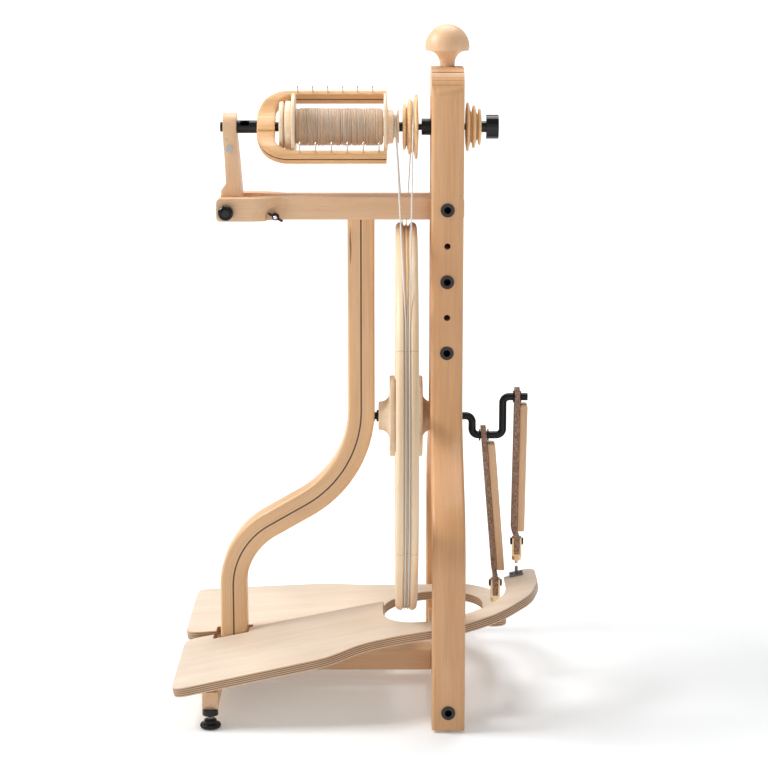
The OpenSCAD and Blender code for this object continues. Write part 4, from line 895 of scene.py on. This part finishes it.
class SPINNER_OT_flyer(Piece, bpy.types.Operator):
    """Flyer: a U sawn from a laminated board, turned by 45 degrees, with wire hooks on both arms"""

    bl_idname = "spinner.flyer"
    bl_label = "Flyer"

    # Ends of the U and of its inner edge along X, and the height of an arm's middle over the axis.
    FRONT, BACK, INSIDE, ARM = -0.1265, 0.0348, -0.1042, 0.049

    def execute(self, context):
        self.arms()
        self.hooks(context.scene.spinner_sizes.wire_radius)
        return {"FINISHED"}

    def outline(self, front, half, r, n=12):
        """The U's outer or inner edge as (x, z): an arm, an arc of radius r, the front, an arc, an arm."""
        share = np.arange(n) / n
        shares = np.array([1, 0.9, 0.45, 0.3, 0.235, 0.222, 0.1, -0.1, -0.222, -0.235, -0.3, -0.45, -0.9])
        reach = front + r - self.BACK
        return np.concatenate([
            stacked(self.BACK + reach * share, half),
            (front + r, half - r) + r * ray(math.pi / 2 * (1 + share)),
            stacked(front, np.clip(self.ARM * shares, r - half, half - r)),
            (front + r, r - half) + r * ray(math.pi / 2 * (2 + share)),
            stacked(front + r - reach * np.linspace(0, 1, n + 1), -half)])

    def arms(self):
        """Rounded sections from the U's inner to its outer edge, thinned by a scoop round the shaft."""
        thick, edge = 0.018, 0.0016
        outer = self.outline(self.FRONT, half=0.053, r=0.040)
        inner = self.outline(self.INSIDE, half=0.045, r=0.025)
        span = np.linalg.norm(outer - inner, axis=1)[:, None]
        a, w = section(span, thick, edge, corner=2, side=4)
        x, z = np.moveaxis(inner[:, None] + (outer - inner)[:, None] * (a / span + 0.5)[..., None], -1, 0)
        heights, depths = (0, 0.0106, 0.0112, 0.020, 0.030, 0.038), (0, 0, 0.0030, 0.0036, 0.0024, 0)
        scoop = np.interp(np.abs(z), heights, depths)
        scoop *= (np.abs(x - (self.FRONT + self.INSIDE) / 2) < 0.03) * (np.abs(w) > 0.004)
        rows = stacked(x, np.sign(w) * np.maximum(np.abs(w) - scoop, 0), z)
        ob = mesh_object("flyer_arms", self.leaning(rows), skin(rows), stacked(x, z, w))
        seat(ob, "flyer", "flyer_maple", ["flyer_maple", "flyer_walnut"])

    def hooks(self, wire):
        """Six hooks on each arm: a straight shank out of the board's face and a curl of 280 degrees."""
        face, shank, curl = 0.0085, 0.0122, 0.0026
        turn = ray(math.radians(280) * np.linspace(0.1, 1.0, 14))
        out = np.concatenate([face + shank * np.linspace(0, 1, 7), face + shank + curl * turn[:, 1]])
        sink = np.concatenate([np.zeros(7), curl * (1 - turn[:, 0])])
        parts = []
        for arm, first, pitch in ((1, 0.050, 0.0188), (-1, 0.0545, 0.0195)):
            for k in range(6):
                path = stacked(self.FRONT + first + pitch * k, -out, arm * (self.ARM - sink))
                parts.append(tube(path, wire, sides=8))
        verts, faces, _ = joined(*parts)
        ob = mesh_object("wire_hooks", self.leaning(verts), faces)
        seat(ob, "flyer", "bright_steel", ["flyer_hooks"])

    @staticmethod
    def leaning(p):
        """Turns points about the flyer's axis so that the arm at +z leans to +Y by 45 degrees."""
        x, y, z = np.moveaxis(p, -1, 0)
        return stacked(x, math.sqrt(0.5) * (z + y), FLYER_Z + math.sqrt(0.5) * (z - y))


class SPINNER_OT_yarn(Piece, bpy.types.Operator):
    """Spun yarn wound over the bobbin in close, slightly uneven turns"""

    bl_idname = "spinner.yarn"
    bl_label = "Yarn"

    def execute(self, context):
        x0, x1 = WHEEL_X - 0.1375, WHEEL_X - 0.0291
        core_r, bore, gap_x, per_turn = 0.0206, 0.0112, 0.0015, 36
        turns = context.scene.spinner_sizes.yarn_turns
        rng = np.random.default_rng(7)
        n = turns * per_turn
        t = np.arange(n + 1) / n
        parts = []
        # Each layer's radius, share of the turns, first angle, place along the bobbin and start of its grain.
        layers = ((0.0214, 1, 0, t, 0), (0.0226, 0.93, 1.35, 0.02 + 0.96 * t, 3.7))
        for r, lay, start, along, offset in layers:
            thin, high = self.wander(rng, n, 40), self.wander(rng, n, 25)
            around = ray(2 * math.pi * turns * t * lay + start)
            x = x0 + gap_x + (x1 - x0 - 2 * gap_x) * along + 0.00035 * thin
            out = (r + 0.00022 * high)[:, None] * around
            verts, faces, grain = tube(np.column_stack([x, out[:, 1], FLYER_Z + out[:, 0]]),
                                       np.clip(0.001 + 0.00012 * thin, 0.0008, 0.0013), sides=6)
            parts.append((verts, faces, grain + (offset, 0, 0)))
        seat(mesh_object("spun_yarn", *joined(*parts), sharp=80), "bobbin", "wool_yarn",
             ["yarn_winding", "yarn_core"])
        core = [(bore, 0), (core_r, 0), (core_r, x1 - x0), (bore, x1 - x0)]
        fill = mesh_object("yarn_core_fill", *revolve(core, on_axle(x0, FLYER_Z)))
        seat(fill, "bobbin", "wool_yarn")
        return {"FINISHED"}

    @staticmethod
    def wander(rng, count, gap):
        """Normal draws, one every gap stations, joined by straight lines."""
        at = np.arange(0, count + gap, gap)
        return np.interp(np.arange(count + 1), at, rng.normal(0, 1, len(at)))


class SPINNER_OT_turned(Piece, bpy.types.Operator):
    """Turned pieces: whorls, spare whorl, bobbin and hub, with eased ridges"""

    bl_idname = "spinner.turned"
    bl_label = "Turned pieces"

    # Profiles as (place along the axis, radius), in shares that are fitted to each CAD piece's box.
    WHORL_SHARES = [(-4.9, 21), (-2.8, 28.8), (0, 22.5), (3.9, 34.7), (8.5, 28.3), (12, 40.4), (14.6, 22),
                    (15, 14)]
    SPARE_SHARES = [(73.6, 22), (76.2, 30.4), (78.8, 22), (80.8, 18), (83.8, 26.7), (86.9, 18), (88.6, 15),
                    (90.85, 22.7), (93.1, 15)]
    BOBBIN_SHARES = [(-158, 12), (-157.9, 31.4), (-152.9, 31.4), (-152.8, 26), (-150.7, 26), (-150.6, 32.2),
                     (-143.3, 32.2), (-143.2, 30), (-142.8, 30), (-142.7, 41.3), (-138.1, 41.3), (-138, 11),
                     (-28.6, 11), (-28.5, 41.5), (-24.5, 41.5), (-23.1, 21), (-16.4, 21), (-15.6, 13.4),
                     (-12.7, 13.4), (-11.4, 20.7), (-9.1, 20.7)]

    def execute(self, context):
        self.on_flyer_axis(
            "whorls", "flyer_whorls", self.WHORL_SHARES, "flyer", "whorl_maple", "maple",
            bore=0.0080, tip=0.0011, reach=0.0007)
        self.on_flyer_axis(
            "spare", "spare_whorl", self.SPARE_SHARES, "rear_bearing", "whorl_maple", "maple",
            bore=0.0045, tip=0.0010, reach=0.0007)
        self.on_flyer_axis(
            "bobbin_turned", "bobbin", self.BOBBIN_SHARES, "bobbin", "bobbin_maple", "pale_maple",
            bore=0.0062, tip=0.0005, reach=0.0008)
        self.hub()
        return {"FINISHED"}

    def on_flyer_axis(self, name, cad, shares, body, material, slot, bore, tip, reach):
        """Turns a profile fitted to a CAD piece about the flyer's axis, its corners eased by reach."""
        profile = self.fitted(cad, np.array(shares, float), bore, tip)
        piece = revolve(eased(profile, reach), on_axle(0.0, FLYER_Z), steps=120)
        seat(mesh_object(name, *piece, sharp=40), body, material, [cad])

    @staticmethod
    def fitted(cad, shares, bore, tip):
        """A profile of (radius, x) that fills a CAD piece's box, whose ridges end in a flat of size tip."""
        (low, high), (x, r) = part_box(cad), shares.T
        x = low.x + (x - x[0]) * (high.x - low.x) / (x[-1] - x[0])
        r = r / r.max() * (high.y - low.y) / 2
        out = [(bore, x[0])]
        for i in range(len(r)):
            if 0 < i < len(r) - 1 and r[i] > max(r[i - 1], r[i + 1]):
                out += [(r[i] - tip, x[i] - 1.6 * tip), (r[i], x[i] - 0.7 * tip)]
                out += [(r[i], x[i] + 0.7 * tip), (r[i] - tip, x[i] + 1.6 * tip)]
            else:
                out.append((r[i], x[i]))
        return out + [(bore, x[-1])]

    @staticmethod
    def hub():
        """Half a profile, with a cove of a quarter circle from boss to flange, mirrored about x = 0."""
        bore, boss, cove, side, end = 0.0048, 0.0183, 0.0117, 0.021, 0.035
        flange, flange_r, neck_r = 0.007, 0.05175, 0.04605
        curve = (boss + cove, -side - cove) + cove * ray(math.pi / 2 * np.arange(9) / 8) * (-1, 1)
        half = np.array([(bore, -end), (boss, -end), *curve, (flange_r, -side), (flange_r, flange - side),
                         (neck_r, flange - side)])
        profile = eased(np.concatenate([half, half[::-1] * (1, -1)]), 0.0012)
        ob = mesh_object("hub", *revolve(profile, on_axle(WHEEL_X, AXLE_Z), steps=144), sharp=40)
        seat(ob, "wheel", "turned_maple", ["wheel_hub"])


class SPINNER_OT_hardware(Piece, bpy.types.Operator):
    """Clamp knob, wing nut, levelling feet and the footmen's bars and pin heads"""

    bl_idname = "spinner.hardware"
    bl_label = "Small hardware"

    def execute(self, context):
        self.clamp_knob()
        nut = softened("wing_nut", 0.0005, least=25, segments=2)
        seat(nut, "wing_nut", "black_gloss", ["wing_nut"])
        for _, side in SIDES:
            self.leveller(side + "_leveller")
        self.wing_screw_end()
        for _, side in SIDES:
            bar = softened(side + "_footman_bar", 0.002, "Z", name=side + "_bar_rounded")
            seat(bar, side + "_footman", "maple", [side + "_footman_bar"])
            self.pin_heads(side)
        return {"FINISHED"}

    @staticmethod
    def clamp_knob():
        """A disc with a raised ring and a sunk middle, and the bolt behind it."""
        low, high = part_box("maiden_knob")
        r, thick, edge, sunk, bolt_r, bolt = (high.x - low.x) / 2, 0.015, 0.002, 0.0012, 0.0030, 0.090
        middle = thick - 0.0002
        disc = [(0, 0), (r - edge / 2, 0), (r, edge / 2), (r, thick - edge), (r - edge, thick),
                (r * 0.72, thick), (r * 0.70, thick - sunk), (r * 0.58, thick - sunk), (r * 0.56, middle),
                (r * 0.3, middle), (0, middle)]
        place = on_y((low.x + high.x) / 2, low.y + thick, (low.z + high.z) / 2)
        rod = revolve([(0, -bolt), (bolt_r, -bolt), (bolt_r, 0), (0, 0)], place, steps=24)
        verts, faces, _ = joined(revolve(eased(disc, 0.0006), place, steps=64), rod)
        ob = mesh_object("clamp_knob", verts, faces)
        seat(ob, "maiden_clamp", "black_gloss", ["maiden_knob"])

    @staticmethod
    def leveller(body):
        """A stepped pad and a stud, whose radius changes with each half pitch of its thread."""
        disc, step_r, step, edge = 0.006, 0.00785, 0.011, 0.0015
        stud, deep, half_pitch = 0.00275, 0.0005, 0.0006
        low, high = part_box(body)
        r, top = (high.x - low.x) / 2, high.z - low.z

        def upright(p):
            return p + (low.x + r, low.y + r, low.z)
        pad = [(0, 0), (r - edge, 0), (r, 0.002), (r, disc - edge), (r - 0.002, disc), (step_r, disc),
               (step_r, step), (0, step)]
        verts, faces, _ = revolve(eased(pad, 0.0012), upright, steps=64)
        seat(mesh_object(body + "_pad", verts, faces, sharp=40), body, "black_plastic", [body])
        i = np.arange(int((top - step) / half_pitch))
        thread = np.column_stack([stud - deep * (i % 2), step + half_pitch * i])
        verts, faces, _ = revolve([(0, step - 0.001), *thread, (0, thread[-1, 1])], upright, steps=32)
        seat(mesh_object(body + "_thread", verts, faces, sharp=60), body, "bright_steel")

    @staticmethod
    def wing_screw_end():
        """The end of the screw that stands out of the wing nut."""
        low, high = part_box("wing_nut")
        r, out, chamfer, sunk = 0.0024, 0.0017, 0.0005, 0.0016
        profile = [(0, 0), (r, 0), (r, out - chamfer), (r - 0.0006, out), (0, out)]
        place = on_y((low.x + high.x) / 2, low.y + sunk, (low.z + high.z) / 2)
        verts, faces, _ = revolve(profile, place, steps=24)
        seat(mesh_object("wing_screw_end", verts, faces), "wing_nut", "bright_steel")

    @staticmethod
    def pin_heads(side):
        """The two heads of the pin through a clevis."""
        low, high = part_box(side + "_clevis")
        r, thick, under_top = 0.0046, 0.0024, 0.0052
        parts = []
        for x in (low.x, high.x - thick):
            verts, faces, grain = revolve(eased([(0, 0), (r, 0), (r, thick), (0, thick)], 0.0005),
                                          on_axle(x, high.z - under_top), steps=32)
            parts.append((verts + (0, (low.y + high.y) / 2, 0), faces, grain))
        verts, faces, _ = joined(*parts)
        ob = mesh_object(side + "_clevis_bolt", verts, faces)
        seat(ob, side + "_footman", "black_metal")


class SPINNER_OT_band(Piece, bpy.types.Operator):
    """Double drive band: one cord, twice round the wheel, once over the bobbin and once over the whorl"""

    bl_idname = "spinner.band"
    bl_label = "Drive band"

    # Radii of the cord's run on the wheel, the bobbin's ring and the whorl, and how far each of its two
    # turns round the wheel lies off the wheel's middle.
    WHEEL, BOBBIN, WHORL, APART = 0.24530, 0.01495, 0.0317, 0.0022

    def execute(self, context):
        sizes = context.scene.spinner_sizes
        p = np.concatenate([
            self.top_arc(self.BOBBIN, -0.01415), self.wheel_arc(self.BOBBIN, self.WHORL, self.APART),
            self.top_arc(self.WHORL, 0.0081), self.wheel_arc(self.WHORL, self.BOBBIN, -self.APART)])
        dense = []
        for start, end in zip(p, np.roll(p, -1, 0)):
            n = max(1, int(np.linalg.norm(end - start) / 0.02))
            dense.append(start + np.outer(np.arange(n) / n, end - start))
        cord = tube(np.concatenate(dense), sizes.cord_radius, sides=sizes.cord_sides, closed=True)
        ob = mesh_object("band_cord_run", *cord, sharp=80)
        ob.data.materials.append(MAT["band_cord"])
        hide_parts("drive_band")
        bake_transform(ob)
        return {"FINISHED"}

    def end_angle(self, r):
        """Where the run to a pulley of radius r leaves the wheel, from the top: cos a = (R - r) / rise."""
        return math.acos((self.WHEEL - r) / (FLYER_Z - AXLE_Z))

    def wheel_arc(self, up, down, u, n=90):
        """The long way round the wheel, between the runs to the pulleys of radius up and down."""
        first = self.end_angle(up)
        c, s = ray(first + (2 * math.pi - first - self.end_angle(down)) * np.arange(n + 1) / n).T
        return stacked(WHEEL_X + u, self.WHEEL * s, AXLE_Z + self.WHEEL * c)

    def top_arc(self, r, x, n=22):
        """Over a pulley of radius r, from one straight run to the other."""
        a = self.end_angle(r)
        c, s = ray(-a + 2 * a * np.arange(n + 1) / n).T
        return stacked(WHEEL_X + x, r * s, FLYER_Z + r * c)


class SPINNER_OT_finish(Piece, bpy.types.Operator):
    """Gives each CAD piece that keeps its own surface its material"""

    bl_idname = "spinner.finish_nodes"
    bl_label = "Materials of the other pieces"

    CAD_PIECES = {
        "walnut": ["head_walnut_plate"],
        "rubber": ["rear_feet"],
        "black_plastic": ["leveller_cups", "axle_bushes", "rear_flyer_bearing", "swivel_bush", "flyer_shaft"],
        "browned_bolt": ["frame_bolts"],
        "bright_steel": ["maiden_screws", "treadle_rod", "tension_screw"],
        "maple_upright": ["tension_knob"],
        "black_gloss": ["whorl_cap"],
        "black_metal": ["crank_axle", "crank_clips"],
        "footman_belting": ["near_footman_strap", "far_footman_strap"],
        "yellow_zinc": ["near_clevis", "far_clevis"],
        "grey_metal": ["near_treadle_stud", "far_treadle_stud"],
    }

    def execute(self, context):
        for material, cads in self.CAD_PIECES.items():
            for cad in cads:
                for slot in NODES[cad].material_slots:
                    slot.material = MAT[material]
        return {"FINISHED"}


class SPINNER_OT_stage(Piece, bpy.types.Operator):
    """White floor, three soft lights, the strongest from the upper left, and the camera"""

    bl_idname = "spinner.stage"
    bl_label = "Stage"

    # Each lamp's place, size and power; they all look at AIM.
    LAMPS = {
        "key": ((-1.9, -0.1, 2.1), 1.0, 52),
        "fill": ((0.4, -2.9, 1.4), 1.6, 4),
        "top": ((0.1, 0.6, 2.2), 1.3, 26),
    }
    AIM = (0.0, 0.0, 0.40)
    # The camera's place, and how far it looks down and to the left.
    EYE, DOWN, TURN = (0.0341, -2.6030, 0.9131), 0.1976, 0.0010

    def execute(self, context):
        scene = context.scene
        self.floor()
        scene.world = bpy.data.worlds.new("studio")
        scene.world.use_nodes = True
        feed(scene.world.node_tree.nodes["Background"], {"Color": (1, 1, 1), "Strength": 0.30})
        for name, (place, size, power) in self.LAMPS.items():
            data = bpy.data.lights.new(name, "AREA")
            data.energy = power
            data.size = size
            lamp = linked(name, data)
            lamp.location = place
            lamp.rotation_euler = (Vector(self.AIM) - Vector(place)).to_track_quat("-Z", "Y").to_euler()
        data = bpy.data.cameras.new("camera")
        data.lens = 97.42
        data.sensor_width = 36
        data.clip_end = 400
        scene.camera = linked("camera", data)
        scene.camera.location = self.EYE
        scene.camera.rotation_euler = (math.pi / 2 - self.DOWN, 0.0, self.TURN)
        scene.view_settings.view_transform = "Standard"
        return {"FINISHED"}

    @staticmethod
    def floor():
        """White paper with painted light: its own glow rises in a straight line between the distances near
        and far, to whiten the backdrop and lift the shadows near the model.
        """
        reach, drop = 150, -0.0005
        corners = [(-reach, -reach, drop), (reach, -reach, drop), (reach, reach, drop), (-reach, reach, drop)]
        floor = mesh_object("floor", corners, [(0, 1, 2, 3)])
        tree = new_tree("floor_paper")
        off = node(tree, "ShaderNodeVectorMath", {0: coordinates(tree)}, operation="LENGTH")
        near, far, least, most = 0.55, 3.2, 0.17, 1.0
        distance = Signal(off.outputs["Value"])
        # Painted light: the floor glows from least near the model to most far from it, though it is no lamp.
        glow = node(tree, "ShaderNodeMapRange", {0: distance, 1: near, 2: far, 3: least, 4: most})
        feed(tree.nodes["Principled BSDF"], {
            "Base Color": (0.90, 0.92, 0.935), "Roughness": 0.85, "Emission Color": (1, 1, 1),
            "Emission Strength": Signal(glow.outputs[0])})
        floor.data.materials.append(MAT["floor_paper"])


OPERATORS = (
    SPINNER_OT_materials, SPINNER_OT_post, SPINNER_OT_legs, SPINNER_OT_boards, SPINNER_OT_wheel,
    SPINNER_OT_treadles, SPINNER_OT_flyer, SPINNER_OT_yarn, SPINNER_OT_turned, SPINNER_OT_hardware,
    SPINNER_OT_band, SPINNER_OT_finish, SPINNER_OT_stage,
)


class SPINNER_PT_panel(bpy.types.Panel):
    """Sizes, colours and a button for each group of pieces"""

    bl_label = "Spinning wheel"
    bl_space_type = "VIEW_3D"
    bl_region_type = "UI"
    bl_category = "Spinning wheel"

    def draw(self, context):
        scene = context.scene
        for values, kind in ((scene.spinner_sizes, SpinnerSizes), (scene.spinner_colours, SpinnerColours)):
            for key in kind.__annotations__:
                self.layout.prop(values, key)
        for operator in OPERATORS:
            self.layout.operator(operator.bl_idname)


CLASSES = (SpinnerSizes, SpinnerColours, *OPERATORS, SPINNER_PT_panel)


def register():
    for cls in CLASSES:
        bpy.utils.register_class(cls)
    bpy.types.Scene.spinner_sizes = bpy.props.PointerProperty(type=SpinnerSizes)
    bpy.types.Scene.spinner_colours = bpy.props.PointerProperty(type=SpinnerColours)


def unregister():
    del bpy.types.Scene.spinner_colours
    del bpy.types.Scene.spinner_sizes
    for cls in reversed(CLASSES):
        bpy.utils.unregister_class(cls)


def main():
    """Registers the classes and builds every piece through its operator."""
    register()
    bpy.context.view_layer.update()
    for operator in OPERATORS:
        getattr(bpy.ops.spinner, operator.bl_idname.split(".")[1])()


if __name__ == "__main__":
    main()
